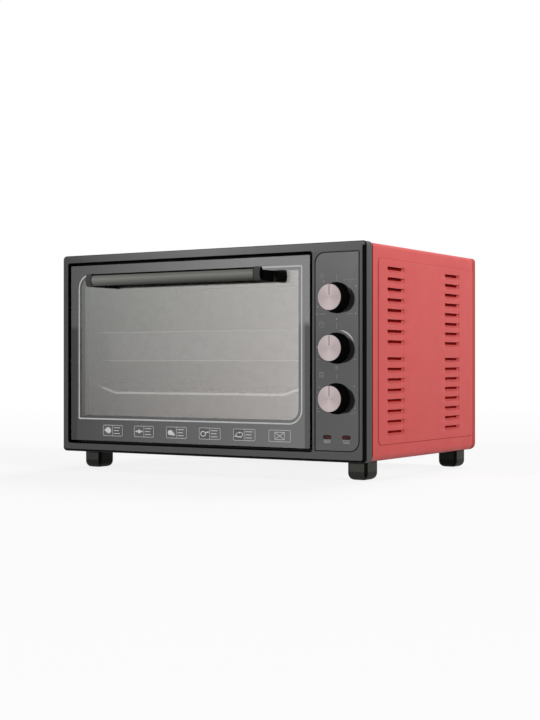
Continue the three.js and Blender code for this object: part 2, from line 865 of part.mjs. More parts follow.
function doorFrame() {
  const low = [doorLeft + doorFrameInset, doorBottom + doorFrameInset];
  const high = [doorRight - doorFrameInset, doorTop - doorFrameInset];
  const windowLow = [doorLeft + windowLeftMargin, doorBottom + windowBottomMargin];
  const windowHigh = [doorRight - windowRightMargin, doorTop - windowTopMargin];
  const stripTop = doorBottom + hingeStripHeight;
  const stripBack = doorRecess + hingeStripDepth;
  const strip = block([low[0], doorFrameFront, low[1]], [high[0], stripBack, stripTop + overrun]);
  const upper = block([low[0], doorFrameFront, stripTop], [high[0], doorFrameBack, high[1]]);
  const window = prism("y", evenRect(windowLow, windowHigh, windowCornerRadius),
    doorFrameFront - overrun, doorFrameBack + overrun);
  const [channelLow, channelHigh] = insetRect(low, high, doorFrameWall);
  const shallowHollow = block([channelLow[0], doorFrameFront - overrun, channelLow[1]],
    [channelHigh[0], stripBack - doorFrameWall, channelHigh[1]]);
  const deepHollow = block([channelLow[0], doorFrameFront - overrun, stripTop + doorFrameWall],
    [channelHigh[0], doorFrameBack - doorFrameWall, channelHigh[1]]);
  const [sleeveLow, sleeveHigh] = insetRect(windowLow, windowHigh, -doorFrameWall);
  const sleeve = prism("y", evenRect(sleeveLow, sleeveHigh, windowCornerRadius + doorFrameWall),
    doorFrameFront, doorFrameBack);
  const pinHole = rod("x", [0, hingeY, hingeZ], doorLeft - overrun, doorRight + overrun,
    hingePinRadius + seatGap, smallSides);
  const channel = strip.add(upper).subtract(shallowHollow).subtract(deepHollow);
  return channel.add(sleeve).subtract(window).subtract(pinHole);
}

function hingePin(side) {
  const rimFace = side > 0 ? openingRight + rimThickness : openingLeft - rimThickness;
  const outer = rimFace + side * hingePinReach;
  const frameEdge = side > 0 ? doorRight - doorFrameInset : doorLeft + doorFrameInset;
  const inner = frameEdge - side * (doorFrameWall + hingePinReach);
  return rod("x", [0, hingeY, hingeZ], Math.min(outer, inner), Math.max(outer, inner),
    hingePinRadius, smallSides);
}

// Handle
function handleBar() {
  const half = handleLength / 2 - handleCollarLength - seatGap;
  const bore = handleBarRadius - handleWall;
  return turned("x", [doorMiddle, handleY, handleZ],
    [[bore, -half], [handleBarRadius, -half], [handleBarRadius, half], [bore, half]], barSides);
}

function handleBracket(side) {
  const centre = doorMiddle + side * (handleLength - handleCollarLength) / 2;
  const inner = -side * handleCollarLength / 2;
  const outer = side * handleCollarLength / 2;
  const shoulder = outer - side * handleEndRound;
  const pegRadius = handleBarRadius - handleWall - seatGap;
  const collar = turned("x", [centre, handleY, handleZ], [
    [0, inner - side * handlePegLength],
    [pegRadius, inner - side * handlePegLength],
    [pegRadius, inner],
    [handleBarRadius, inner],
    [handleBarRadius, shoulder],
    [handleBarRadius - handleEndRound, outer],
    [0, outer],
  ], barSides);
  const arm = block([centre - handleCollarLength / 2, handleY, armZ - armHeight / 2],
    [centre + handleCollarLength / 2, doorRecess - seatGap, armZ + armHeight / 2]);
  const bore = rod("y", [centre, 0, armZ], doorRecess - handleScrewGrip - seatGap, doorRecess + overrun,
    handleScrewRadius + seatGap, smallSides);
  return collar.add(arm).subtract(bore);
}

function handleScrew(x) {
  const seat = glassBack + seatGap;
  return turned("y", [x, 0, armZ], [
    [0, doorRecess - handleScrewGrip],
    [handleScrewRadius, doorRecess - handleScrewGrip],
    [handleScrewRadius, seat],
    [handleScrewHeadRadius, seat],
    [handleScrewHeadRadius, seat + handleScrewHeadHeight],
    [0, seat + handleScrewHeadHeight],
  ], smallSides);
}

// Knobs and the units that they turn
function shaftSolid(height, margin, front, back) {
  const round = rod("y", [knobX, 0, height], front, back, shaftRadius + margin, unitSides);
  const flat = block([knobX - shaftRadius * 2, front - overrun, height + shaftFlat + margin],
    [knobX + shaftRadius * 2, 0, height + shaftRadius * 2]);
  return round.subtract(flat);
}

function knobBody(height) {
  const body = turned("y", [knobX, 0, height], [
    [0, -knobGap],
    [knobSkirtRadius, -knobGap],
    [knobSkirtRadius, -knobGap - knobSkirtThickness],
    [knobWaistRadius, -knobGap - knobWaistHeight],
    [knobCapRadius, -knobGap - knobHeight],
    [0, -knobGap - knobHeight],
  ], knobSides);
  return body.subtract(shaftSolid(height, seatGap, -knobGap - knobBoreDepth, overrun));
}

function knobCap(height) {
  const seat = -knobGap - knobHeight - seatGap;
  const face = seat - knobCapThickness;
  return turned("y", [knobX, 0, height], [
    [0, seat],
    [knobCapRadius, seat],
    [knobCapRadius, face + knobCapChamfer],
    [knobCapRadius - knobCapChamfer, face],
    [0, face],
  ], knobSides);
}

function knobShaft(height) {
  return shaftSolid(height, 0, -knobGap - knobBoreDepth + seatGap, shaftInnerReach);
}

function unitBase(height, body) {
  const neckBack = unitFront + unitNeckRadius;
  const boreBack = shaftInnerReach + seatGap;
  const neck = rod("y", [knobX, 0, height], unitNeckRecess, neckBack, unitNeckRadius, unitSides);
  const bore = rod("y", [knobX, 0, height], -overrun, boreBack, shaftRadius + seatGap, unitSides);
  return body.add(neck).subtract(bore);
}

function unitBox(height) {
  return block([knobX - unitWidth / 2, unitFront, height - unitHeight / 2],
    [knobX + unitWidth / 2, unitFront + unitDepth, height + unitHeight / 2]);
}

function unitTab(height, place) {
  const x = knobX + place * unitWidth / 2;
  const root = unitFront + unitDepth;
  return block([x - unitTabThickness / 2, root - unitTabLength / 2, height - unitTabWidth / 2],
    [x + unitTabThickness / 2, root + unitTabLength, height + unitTabWidth / 2]);
}

function unitCan(height) {
  const back = unitFront + unitDepth + unitCanDepth;
  return rod("y", [knobX, 0, height], unitFront, back, unitCanRadius, unitSides);
}

function thermostatUnit(height) {
  return unitBase(height, unitBox(height).add(unitCan(height)));
}

function timerUnit(height) {
  const radius = (unitWidth + unitHeight) / 4;
  const drum = rod("y", [knobX, 0, height], unitFront, unitFront + unitDepth, radius, unitSides);
  return unitBase(height, drum.add(unitCan(height)));
}

function selectorUnit(height) {
  const tabs = unitTabShares.map((place) => unitTab(height, place));
  return unitBase(height, joined([unitBox(height), ...tabs]));
}

function lampLens(centre) {
  const lens = lampSlot(centre, -lampProud, unitFront + lampHolderDepth / 2, 0);
  const holder = lampSlot(centre, unitFront, unitFront + lampHolderDepth, lampHolderMargin);
  return lens.add(holder);
}

// Wire rack: one bent loop, welded shut at the back, with cross wires on top
function wireRack() {
  const rest = railTop(0) + seatGap + rackWireRadius;
  const low = rest - rackDrop;
  const left = mouthLeft + rackSideMargin;
  const right = mouthRight - rackSideMargin;
  const front = cavityFront + rackFrontMargin;
  const back = cavityBack - rackBackMargin;
  const middle = (left + right) / 2;
  const corners = [
    [middle + rackJointGap / 2, back, low],
    [right - rackRampRun, back, low],
    [right, back, rest],
    [right, front, rest],
    [right - rackRampRun, front, low],
    [left + rackRampRun, front, low],
    [left, front, rest],
    [left, back, rest],
    [left + rackRampRun, back, low],
    [middle - rackJointGap / 2, back, low],
  ].map(([x, y, z]) => new THREE.Vector3(x, y, z));
  const loop = wire(bentStations(corners, rackBendRadius), rackWireRadius);
  const bead = solidFrom(new THREE.SphereGeometry(rackBeadRadius, wireSides, wireSides / 2)
    .translate(middle, back, low));
  const crossHeight = low + rackWireRadius + rackCrossRadius - rackWeldSink;
  const reach = Math.floor((right - left - 2 * rackRampRun) / 2 / rackPitch);
  const crossWires = [];
  for (let step = -reach; step <= reach; step += 1) {
    crossWires.push(rod("y", [middle + step * rackPitch, 0, crossHeight], front - rackWireRadius,
      back + rackWireRadius, rackCrossRadius, crossSides));
  }
  return joined([loop, bead, ...crossWires]);
}

function bakingTray() {
  const rimBottom = railTop(railCount - 1) + seatGap;
  const low = [mouthLeft + trayRimGap, cavityFront + trayFrontMargin];
  const high = [mouthRight - trayRimGap, cavityBack - trayBackMargin];
  const [panLow, panHigh] = insetRect(low, high, trayRimWidth);
  const [hollowLow, hollowHigh] = insetRect(panLow, panHigh, trayWall);
  const rim = prism("z", evenRect(low, high, trayCornerRadius + trayRimWidth), rimBottom,
    rimBottom + trayRimThickness);
  const top = rimBottom + trayRimThickness;
  const pan = prism("z", evenRect(panLow, panHigh, trayCornerRadius), top - trayDepth, top);
  const hollow = prism("z", evenRect(hollowLow, hollowHigh, trayCornerRadius - trayWall),
    top - trayDepth + trayWall, top + overrun);
  return rim.add(pan).subtract(hollow);
}

// The pieces of the oven
addPiece("front_frame", "graphite_plastic", frontFrame());
addPiece("control_panel", "panel_plastic", controlPanel());
addPiece("chassis_collar", "dark_steel", chassisCollar());
addPiece("cavity_left_wall", "galvanised_steel", cavityWall(-1));
addPiece("cavity_right_wall", "galvanised_steel", cavityWall(1));
addPiece("cavity_roof", "galvanised_steel", cavityPlate(mouthTop, mouthTop + sheetThickness));
addPiece("cavity_floor", "galvanised_steel", cavityPlate(mouthBottom - sheetThickness, mouthBottom));
addPiece("cavity_back", "galvanised_steel", cavityBackSheet());
addPiece("side_panel_left", "red_enamel", sidePanel(-1));
addPiece("side_panel_right", "red_enamel", sidePanel(1));
addPiece("top_cover", "red_enamel", topCover());
addPiece("bottom_panel", "galvanised_steel", bottomPanel());
addPiece("back_panel", "galvanised_steel", backPanel());

["left", "right"].forEach((sideName, sideIndex) => {
  const x = sideIndex === 0 ? -footX : footX;
  addPiece(`foot_front_${sideName}`, "foot_plastic", foot(x, footPlaces[0]));
  addPiece(`foot_rear_${sideName}`, "foot_plastic", foot(x, footPlaces[1]));
});

["upper", "lower"].forEach((levelName, levelIndex) => {
  ["front", "rear"].forEach((placeName, placeIndex) => {
    const rodSolid = heater(heaterDepths[placeIndex], heaterHeights[levelIndex]);
    addPiece(`heater_${levelName}_${placeName}`, "heater_sheath", rodSolid);
  });
});

addPiece("cord_gland", "black_plastic", cordGland());
["left", "right"].forEach((sideName, sideIndex) => {
  const x = sideIndex === 0 ? -screwX : screwX;
  addPiece(`back_screw_lower_${sideName}`, "plated_steel", backScrew(x, screwHeights[0]));
  addPiece(`back_screw_upper_${sideName}`, "plated_steel", backScrew(x, screwHeights[1]));
});

addPiece("door_glass", "door_glass", doorGlass());
addPiece("door_frame", "dark_steel", doorFrame());
addPiece("hinge_pin_left", "plated_steel", hingePin(-1));
addPiece("hinge_pin_right", "plated_steel", hingePin(1));
addPiece("handle_bar", "handle_metal", handleBar());
addPiece("handle_bracket_left", "black_plastic", handleBracket(-1));
addPiece("handle_bracket_right", "black_plastic", handleBracket(1));
addPiece("handle_screw_left", "plated_steel", handleScrew(armX[0]));
addPiece("handle_screw_right", "plated_steel", handleScrew(armX[1]));

addPiece("thermostat_unit", "switch_plastic", thermostatUnit(knobHeights[0]));
addPiece("timer_unit", "plated_steel", timerUnit(knobHeights[1]));
addPiece("selector_unit", "switch_plastic", selectorUnit(knobHeights[2]));
["temperature", "timer", "selector"].forEach((knobName, index) => {
  addPiece(`${knobName}_knob`, "black_plastic", knobBody(knobHeights[index]));
  addPiece(`${knobName}_knob_cap`, "knob_silver", knobCap(knobHeights[index]));
  addPiece(`${knobName}_shaft`, "plated_steel", knobShaft(knobHeights[index]));
});
addPiece("indicator_lens_left", "red_lens", lampLens(lampCentres[0]));
addPiece("indicator_lens_right", "red_lens", lampLens(lampCentres[1]));

addPiece("wire_rack", "chrome_wire", wireRack());
addPiece("baking_tray", "tray_enamel", bakingTray());

export default oven;
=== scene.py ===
import math

import bmesh
import bpy
from mathutils import Matrix, Vector

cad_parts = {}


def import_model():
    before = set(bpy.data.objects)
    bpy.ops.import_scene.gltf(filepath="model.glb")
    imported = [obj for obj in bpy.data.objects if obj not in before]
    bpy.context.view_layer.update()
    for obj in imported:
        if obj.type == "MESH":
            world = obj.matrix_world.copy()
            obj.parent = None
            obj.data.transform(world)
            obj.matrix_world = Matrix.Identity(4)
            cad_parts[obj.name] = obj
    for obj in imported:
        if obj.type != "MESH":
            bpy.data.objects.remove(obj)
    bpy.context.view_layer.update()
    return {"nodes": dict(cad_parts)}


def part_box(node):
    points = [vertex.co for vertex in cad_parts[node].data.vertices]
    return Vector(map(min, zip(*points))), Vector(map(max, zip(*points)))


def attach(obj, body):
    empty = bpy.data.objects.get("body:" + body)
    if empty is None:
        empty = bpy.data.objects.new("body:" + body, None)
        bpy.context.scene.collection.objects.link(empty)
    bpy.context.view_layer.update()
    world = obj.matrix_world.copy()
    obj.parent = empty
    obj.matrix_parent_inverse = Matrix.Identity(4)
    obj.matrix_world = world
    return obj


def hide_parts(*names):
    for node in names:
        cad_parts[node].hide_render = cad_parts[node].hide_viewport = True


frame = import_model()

# Millimetres: X to the right, Y back from the frame's face, Z up from the cabinet's underside
MM = 0.001
FRONT_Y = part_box("front_frame")[0].y
UNDERSIDE_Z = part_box("front_frame")[0].z

# Cabinet
BODY_WIDTH = 520
BODY_HEIGHT = 295
BODY_DEPTH = 362.5
SHEET = 0.8
GAP = 0.3
OVERRUN = 5
SLIVER = 0.001

# Front frame
FRAME_DEPTH = 18.6
FRAME_PLATE = 3
FRAME_WALL = 2.5
FRAME_CORNER = 6
FRAME_EDGE = 3.5
FACE_BAND = 1.2
# Rows of the frame's rounded edge that take painted shade on every side
EDGE_DARK_STEPS = 3
OPENING_LOW = (-248.5, 13)
OPENING_HIGH = (178.1, 283)
OPENING_CORNER = 3
OPENING_LIP = 0.8
OPENING_LIP_STEPS = 3
RIM = 2
HINGE_Y = 9.2
HINGE_Z = 24.6
HINGE_HOLE = 2.7

# Control panel
PANEL_LOW = (183.7, 15.5)
PANEL_HIGH = (249.7, 280.5)
PANEL_CORNER = 13.5
PANEL_SHARP = 0.5
PANEL_THICKNESS = 1.2
PANEL_BEVEL = 0.35
PANEL_GROOVE = 1.4
NECK_HOLE = 5.1

# Knobs
KNOB_X = 216.5
KNOB_HEIGHTS = [220, 152.6, 85.2]
KNOB_NAMES = ["temperature", "timer", "selector"]
KNOB_GAP = 0.8
KNOB_SKIRT = 20.75
KNOB_SKIRT_THICKNESS = 3.2
KNOB_WAIST = 18.6
KNOB_WAIST_HEIGHT = 7
KNOB_CAP = 17.3
KNOB_HEIGHT = 18.4
KNOB_CAP_THICKNESS = 1.2
KNOB_CAP_CHAMFER = 0.4
KNOB_CAP_SEGMENTS = 120
KNOB_RIBS = 36
KNOB_RIB_DEPTH = 0.7
KNOB_RIB_POWER = 4
KNOB_SEGMENTS = 216
KNOB_BORE = 3.3
KNOB_BORE_DEPTH = 13
POINTER_WIDTH = 1
POINTER_LENGTH = 14.8
POINTER_DEPTH = 0.5

# Indicator lenses
LAMP_WIDTH = 12.5
LAMP_HEIGHT = 5
LAMP_SPACING = 29.3
LAMP_Z = 33.5
LAMP_PROUD = 0.2
LAMP_DEPTH = 6
LAMP_BEVEL = 0.4
LAMP_CROWN_SHARE = 0.25

# Printing on the control panel: ticks from one height to another, dots, and dashes with their length
PRINT_THICKNESS = 0.04
PRINT_LAYER = 0.004
MARK_SEGMENTS = 28
MARK_CORNER_SHARE = 0.25
TICK_WIDTH = 0.7
TICKS = [(242.1, 252), (178.1, 186.1), (111.3, 117.5)]
DOT_RADIUS = 0.9
DOTS = [(216.4, 191.4), (245.8, 234.6), (245.2, 198.3), (187.1, 208.1), (186.2, 198.7), (196.4, 242),
        (186.2, 154.3)]
DASH_WIDTH = 0.8
DASHES = [(239.8, 225.5, 2.2), (240.2, 216.9, 2.2), (239.8, 207.6, 2.2), (187.7, 137.3, 3.6),
          (244.9, 137.2, 3.6), (189.3, 100.4, 4.2), (242.8, 101.7, 4.2), (186.2, 93.7, 2.4),
          (186.2, 72.1, 2.4), (187.7, 67.3, 4.6), (244.3, 72.6, 2.6), (244.3, 67, 2.6),
          (239.8, 65.1, 3.4), (195, 198.5, 9), (237, 198.3, 7)]
STACK_X = 216.4
STACK_HEIGHTS = [125.2, 128]
STACK_RADIUS = 1.6
SCALE_LINE = [(227.7, 241.8), (229.2, 243.9), (246.7, 243.8)]
LABEL_BARS = [(-5.5, 5.5, 0.9), (-5.2, 4.6, 2.6), (-4.6, 5, 4.3)]
LABEL_WIDTH = 0.7
LABEL_TOP = 30.2
CRESCENT_RADII = (24, 27.2)
CRESCENT_THICKNESS = 2
CRESCENT_SPAN = (math.radians(10), math.radians(74))
CRESCENT_STEPS = 24

# Small pictures on the control panel: a sun, a clock and a grill
PICTURE_X = 193.3
PICTURE_HEIGHTS = [250.1, 184.6, 117.1]
PICTURE_RADIUS = 4.2
PICTURE_LINE = 0.6
SUN_RAYS = 8
SUN_DISC_SHARE = 0.6
SUN_RAY_SHARE = 0.75
CLOCK_HAND_SHARES = [(0, 0.7), (0.5, 0.2)]
GRILL_BOX_SHARE = 0.85
GRILL_BAR_SHARE = 0.5
GRILL_ROW_SHARES = (-0.35, 0.35)

# Door glass with its printed border, and the line round the window
GLASS_FRONT = 1.7
GLASS_BACK = 5.7
GLASS_LOW = (-244.9, 16.6)
GLASS_HIGH = (174.5, 279.4)
GLASS_CORNER = 2
GLASS_BEVEL = 0.5
LINE_LOW = (-228.8, 49.7)
LINE_HIGH = (161.2, 264.8)
LINE_CORNER = 20
LINE_SHARP = 1.2
LINE_WIDTH = 2
WINDOW_INSET = 5
PRINT_INSET = 0.6

# Framed signs along the foot of the door
ICON_LOW = 24.5
ICON_HIGH = 41
ICON_SPANS = [(-182.9, -146.3), (-124.6, -89), (-66.5, -30.2), (-8.7, 28.2), (49.8, 86.4), (108.3, 143.7)]
ICON_CORNER = 2.2
ICON_LINE = 0.65
ICON_TEXT_START = 2.2
ICON_TEXT_DROP = 3.8
ICON_TEXT_STEP = 4.3
ICON_TEXT_WIDTH = 1.1
ICON_TEXT_SHARES = [0.85, 0.7, 0.8]
ICON_TEXT_MARGIN = 4.8
CROSSED_BOX = (16, 10.8)
CROSSED_CORNER = 1

# Plain cooking signs about their middles: roast, skewer, loaf, drumstick and covered dish
FOOD_SIGNS = [
    [("disc", (1, 0.4), 5.2, 0.82, -0.3), ("disc", (-4.2, 0.6), 1.8)],
    [("disc", (-4, 0), 1.5), ("disc", (0.4, 0), 2.6, 1.1), ("disc", (4.6, 0), 1.2),
     ("bar", (-7.4, 0), (7.4, 0), 0.9)],
    [("polygon", (-6.4, -0.6), (-5.4, 2.4), (-1.8, 3.4), (1.2, 2.6), (6.8, -3), (6, -4.4), (-4.8, -3.4))],
    [("ring", (-2, -0.4), 4.8, 1.4, 0.84), ("bar", (1.6, 1.2), (6.2, 2.2), 1.4), ("disc", (6.4, 2.2), 1.2)],
    [("ring", (1, 0), 6.2, 1.2, 0.6, 0.15), ("bar", (-7.2, -2.2), (4.8, -3.4), 1.2),
     ("disc", (1.4, 2.9), 1.2)],
]

# Handle
HANDLE_Y = -25
HANDLE_Z = 254.4
HANDLE_LOW_X = -186.7
HANDLE_HIGH_X = 116.3
HANDLE_RADIUS = 9.75
HANDLE_BORE = 7.75
HANDLE_COLLAR = 10
HANDLE_PEG = 7.45
HANDLE_PEG_LENGTH = 8
HANDLE_END_ROUND = 0.8
HANDLE_SEGMENTS = 64
HANDLE_EDGE = 0.7
HANDLE_SQUASH_SHARE = 0.5
HANDLE_FLAT_Y = HANDLE_Y - HANDLE_RADIUS * (1 - HANDLE_SQUASH_SHARE)
HANDLE_STEP = 0.8
TUBE_RADIUS = HANDLE_RADIUS - HANDLE_STEP
TUBE_TOP_LINE = 2.6
TUBE_ROW = 2
COLLAR_ROW = 3
ARM_Z = 252.4
ARM_HEIGHT = 14.8
ARM_ROUND = 1.2

# Shell
SHELL_FRONT = 20.6
SHELL_INSET = 1.2
SHELL_TOP_RADIUS = 5.5
SHELL_BOTTOM_RADIUS = 10
SHELL_REAR_RADIUS = 2.5
# Painted shade along the front seam, and from the rear strip back
SEAM_SHADE = 2.8
REAR_STRIP = 348.2
SIDE_FLANGE = 14
EMBOSS_LOW = (37.8, 21.5)
EMBOSS_HIGH = (348.6, 275)
EMBOSS_CORNER = 7
EMBOSS_HEIGHT = 1.15
EMBOSS_RAMP = 1.1
EMBOSS_GRID = 0.9
GRID_STEP = 24
LEAST_STEP = 0.15

# Louvres: each has its opening at the top, and slopes back to the sheet below and at both ends
LOUVRE_CENTRES = [89.2, 273.5]
LOUVRE_LENGTH = 51
LOUVRE_PITCH = 14.3
LOUVRE_OPENING = 3.6
LOUVRE_DEPTH = 4.6
LOUVRE_SLOPE = 4.6
LOUVRE_VENT = 0.7
LOUVRE_TOP = 263.8
LOUVRE_ROWS = 8
LOUVRE_GROUPS = 2
LOUVRE_GROUP_STEP = 123.2
LOUVRE_END = 2.4
LOUVRE_TAIL = 10
# Painted shade: how much of a louvre's end the dark lip spans, and where its rear hook starts
LOUVRE_DARK_SHARE = 0.6
LOUVRE_HOOK_SHARE = 0.2
LOUVRE_OPEN_SHARE = 0.98
LOUVRE_END_LINES = 4
LOUVRE_SLOPE_LINES = 5
LOUVRE_SPAN_LINES = 5

# Feet
FOOT_X = 229
FOOT_PLACES = {"front": 50, "rear": 339}
FOOT_WIDTH = 30
FOOT_DEPTH = 34
FOOT_HEIGHT = 26
FOOT_CORNER = 4.5
FOOT_SHARP = 0.5
FOOT_EDGE = 9.5
# Corners of each rounded upright edge that take painted shade
FOOT_DARK_STEPS = (1, 6)

# Heating rods
HEATER_RADIUS = 3.25
HEATER_FLANGE = 7
HEATER_FLANGE_THICKNESS = 2
HEATER_TERMINAL = 2
HEATER_TERMINAL_LENGTH = 8
HEATER_SEGMENTS = 32

# Wire rack
RACK_WIRE = 2.5
RACK_LOOP = 1.9
RACK_CROSS = 1.6
RACK_SINK = 0.5
RACK_PITCH = 24
RACK_DROP = 16
RACK_RAMP = 49.5
RACK_BEND = 9
RACK_JOINT = 1
RACK_BEAD = 3.1
BEAD_STEPS = 8
WIRE_SIDES = 20

# Baking tray
TRAY_RIM_WIDTH = 10
TRAY_RIM = 1.2
TRAY_RIM_EDGE = 0.3
TRAY_WALL = 0.8
TRAY_CORNER = 24
TRAY_FLOOR_ROUND = 5
TRAY_STEPS = 10
TRAY_BRIGHT_ROWS = (6, 7)

# Cord gland and screws
GLAND_FLANGE = 12
GLAND_FLANGE_THICKNESS = 3
GLAND_NOSE = 8
GLAND_NOSE_END = 6.4
GLAND_NECK = 7
GLAND_BORE = 3.6
GLAND_EDGE = 0.8
SCREW_HEAD = 4
SCREW_RADIUS = 1.8
SCREW_CROWN_SHARE = 0.7
SCREW_SLOT_WIDTH = 1
SCREW_SLOT_REACH = 2.4
SCREW_SLOT_DEPTH = 1.2
SCREW_SLOT_CORNER = 0.125

# Places where painted light and shade change tone up the front or across it
GRAPHITE_RISE = (150, 295)
# The feet's painted shade towards their rounded undersides
FOOT_RISE = (-15, -13.5)
TOP_LIGHT_RISE = (281, 285)
TOP_LIGHT_SPAN = (-250, 270)
TOP_LIGHT_FADE = 250
WINDOW_SPAN = (49.7, 264.8)
PRINT_STEP = (182, 190)
PRINT_MIDDLE = (-234, 167)
PRINT_FADE = 2
PRINT_PALE_SPAN = (-260, 80)
HANDLE_LIGHT_Z = 255.2

# Plastics: scale and share of the patches, scale and swing of the roughness, scale and detail of the grain
PLASTIC_PATCHES = 9
GRAPHITE_PATCH_SHARE = 0.06
PLASTIC_WEAR = 60
PLASTIC_ROUGH_SWING = (-0.04, 0.05)
PLASTIC_GRAIN = 1700
PLASTIC_DETAIL = 2
MOULD_DEPTH = 0.05

# Range in which nearly all of the noise lies
NOISE_LOW = 0.3
NOISE_HIGH = 0.7

# Surfaces: roughness (scale, lowest, highest), then each grain (scale, depth, detail)
SURFACES = {
    "enamel": [(45, 0.44, 0.54), (420, 0.045, 2), (2200, 0.02, 2)],
    "steel": [(120, 0.45, 0.6), (1300, 0.03, 3)],
    "sheath": [(200, 0.4, 0.6), (800, 0.05, 3)],
    "wire": [(150, 0.22, 0.34), (1500, 0.01, 3)],
    "pan": [(70, 0.22, 0.34), (300, 0.04, 3)],
    "pane": [(25, 0.05, 0.1), (30, 0.02, 3)],
    "border": [(30, 0.2, 0.28), (600, 0.01, 3)],
    "ink": [(200, 0.4, 0.5), (2500, 0.01, 3)],
    "turned": [(400, 0.3, 0.42), (2600, 0.01, 3)],
    "lens": [(90, 0.14, 0.24), (700, 0.02, 3)],
}

# Patches of a second tone on a surface: scale, and the most that they hold of it
PATCHES = {"enamel": (7, 0.25), "steel": (15, 1), "sheath": (40, 1), "wire": (30, 1), "pane": (14, 0.03),
           "border": (500, 0.1), "ink": (300, 1), "turned": (60, 1), "lens": (220, 1)}

# Specks, zinc crystals and brushing
SPECK_SCALE = 1400
SPECK_SPAN = (0.62, 0.68)
SPECK_DETAIL = 1
ZINC_CELLS = 95
ZINC_SPAN = (0.1, 0.9)
ZINC_ROUGH = (0.4, 0.48)
ZINC_GRAIN = (900, 0.02)
BRUSH_STRETCH = (4, 300, 300)
BRUSH_SCALE = 6
BRUSH_DETAIL = 6
BRUSH_SHARE = 0.2
BRUSH_ROUGH = (0.34, 0.46)
BRUSH_DEPTH = 0.02

# Camera, in metres and millimetres of film
CAMERA_PLACE = (1.11215, -1.768395, 0.15657)
CAMERA_TURN = math.radians(32.04)
CAMERA_LENS = 68.578
CAMERA_SENSOR = 36
CAMERA_SHIFT = 0.0064

# Floor, in metres and display tones, and lights: aim and softness in degrees, and strength
FLOOR_HALF = 6
FLOOR_SEEN = 236
FLOOR_BOUNCE = 100
FLOOR_GLOW_SPAN = (0.5, 3)
FLOOR_GLOW_SHARES = (0.84, 1)
AMBIENT = 0.09
LAMPS = [
    ("front_lamp", (-27, 6), 3, 3.32),
    ("side_lamp", (90, 16), 14, 2.68),
    ("rear_lamp", (180, 50), 30, 1.8),
]

# Fineness of round shapes
SMOOTH_ANGLE = math.radians(38)
MERGE_REACH = 0.001
ROUND_SEGMENTS = 48
CORNER_STEPS = 8
EDGE_STEPS = 6
QUARTER = math.pi / 2


def placed(point):
    x, y, z = point
    return (x * MM, FRONT_Y + y * MM, UNDERSIDE_Z + z * MM)


def extent(node):
    """Lowest and highest corners of a CAD node and its middle, in the millimetres used here."""
    low, high = [(corner.x / MM, (corner.y - FRONT_Y) / MM, (corner.z - UNDERSIDE_Z) / MM)
                 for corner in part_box(node)]
    return low, high, [(least + most) / 2 for least, most in zip(low, high)]


class Shape:
    """Corners and faces of a piece, gathered before its mesh is made."""

    def __init__(self):
        self.points = []
        self.faces = []
        self.finishes = []

    def face(self, corners, finish=0):
        self.faces.append(corners)
        self.finishes.append(finish)

    def loft(self, loops, ring=False, pick=None):
        """Skins a row of loops with the same count; pick(loop, corner) chooses a face's finish."""
        count = len(loops[0])
        start = len(self.points)
        self.points.extend(point for loop in loops for point in loop)
        rows = len(loops) if ring else len(loops) - 1
        for row in range(rows):
            below = start + row * count
            above = start + (row + 1) % len(loops) * count
            for corner in range(count):
                after = (corner + 1) % count
                self.face([below + corner, below + after, above + after, above + corner],
                          pick(row, corner) if pick else 0)
        if not ring:
            self.face([start + index for index in reversed(range(count))])
            self.face([start + rows * count + index for index in range(count)])
        return self

    def sheet(self, rows, pick=None, turned=False):
        """An open sheet over rows of points; pick(y, z) chooses a face's finish, or None for a hole."""
        count = len(rows[0])
        self.points = [point for row in rows for point in row]
        for index, (near, far) in enumerate(zip(rows, rows[1:])):
            for corner in range(count - 1):
                y = (near[corner][1] + far[corner][1]) / 2
                z = (near[corner][2] + near[corner + 1][2]) / 2
                finish = pick(y, z) if pick else 0
                if finish is not None:
                    start = index * count + corner
                    quad = [start, start + 1, start + count + 1, start + count]
                    self.face(quad[::-1] if turned else quad, finish)
        return self

    def lathe(self, axis, centre, profile, segments=ROUND_SEGMENTS, ring=False, pick=None, squash=1):
        """Turns [radius, place along the axis] points about the axis through the centre."""
        loops = [[round_point(axis, centre, radius, along, angle, squash) for angle in turns(segments)]
                 for radius, along in profile]
        return self.loft(loops, ring, pick)

    def prism(self, outline, front, back):
        return self.loft([upright(outline, front), upright(outline, back)])

    def band(self, outer, inner, front, back):
        """A flat ring between two outlines with the same count."""
        return self.loft([upright(outer, front), upright(inner, front), upright(inner, back),
                          upright(outer, back)], ring=True)

    def all_in(self, finish):
        self.finishes = [finish] * len(self.faces)
        return self


def turns(count):
    """The angles of a full turn in equal steps."""
    return [step * 2 * math.pi / count for step in range(count)]


def round_point(axis, centre, radius, along, angle, squash=1):
    x, y, z = centre
    across = radius * math.cos(angle) * squash
    up = radius * math.sin(angle)
    if axis == "x":
        return (x + along, y + across, z + up)
    return (x + across, y + along, z + up)


def upright(outline, y):
    return [(x, y, z) for x, z in outline]


def level(outline, z):
    return [(x, y, z) for x, y in outline]


def stacked(outline, section):
    """Upright loops of an outline that takes a margin; the section is given as [margin, y]."""
    return [upright(outline(margin), y) for margin, y in section]


def quarter_round(radius, steps=EDGE_STEPS):
    """How far a rounded edge stays inside its two faces, from the end on the first to that on the second."""
    angles = [step / steps * QUARTER for step in range(steps + 1)]
    return [(radius * (1 - math.cos(angle)), radius * (1 - math.sin(angle))) for angle in angles]


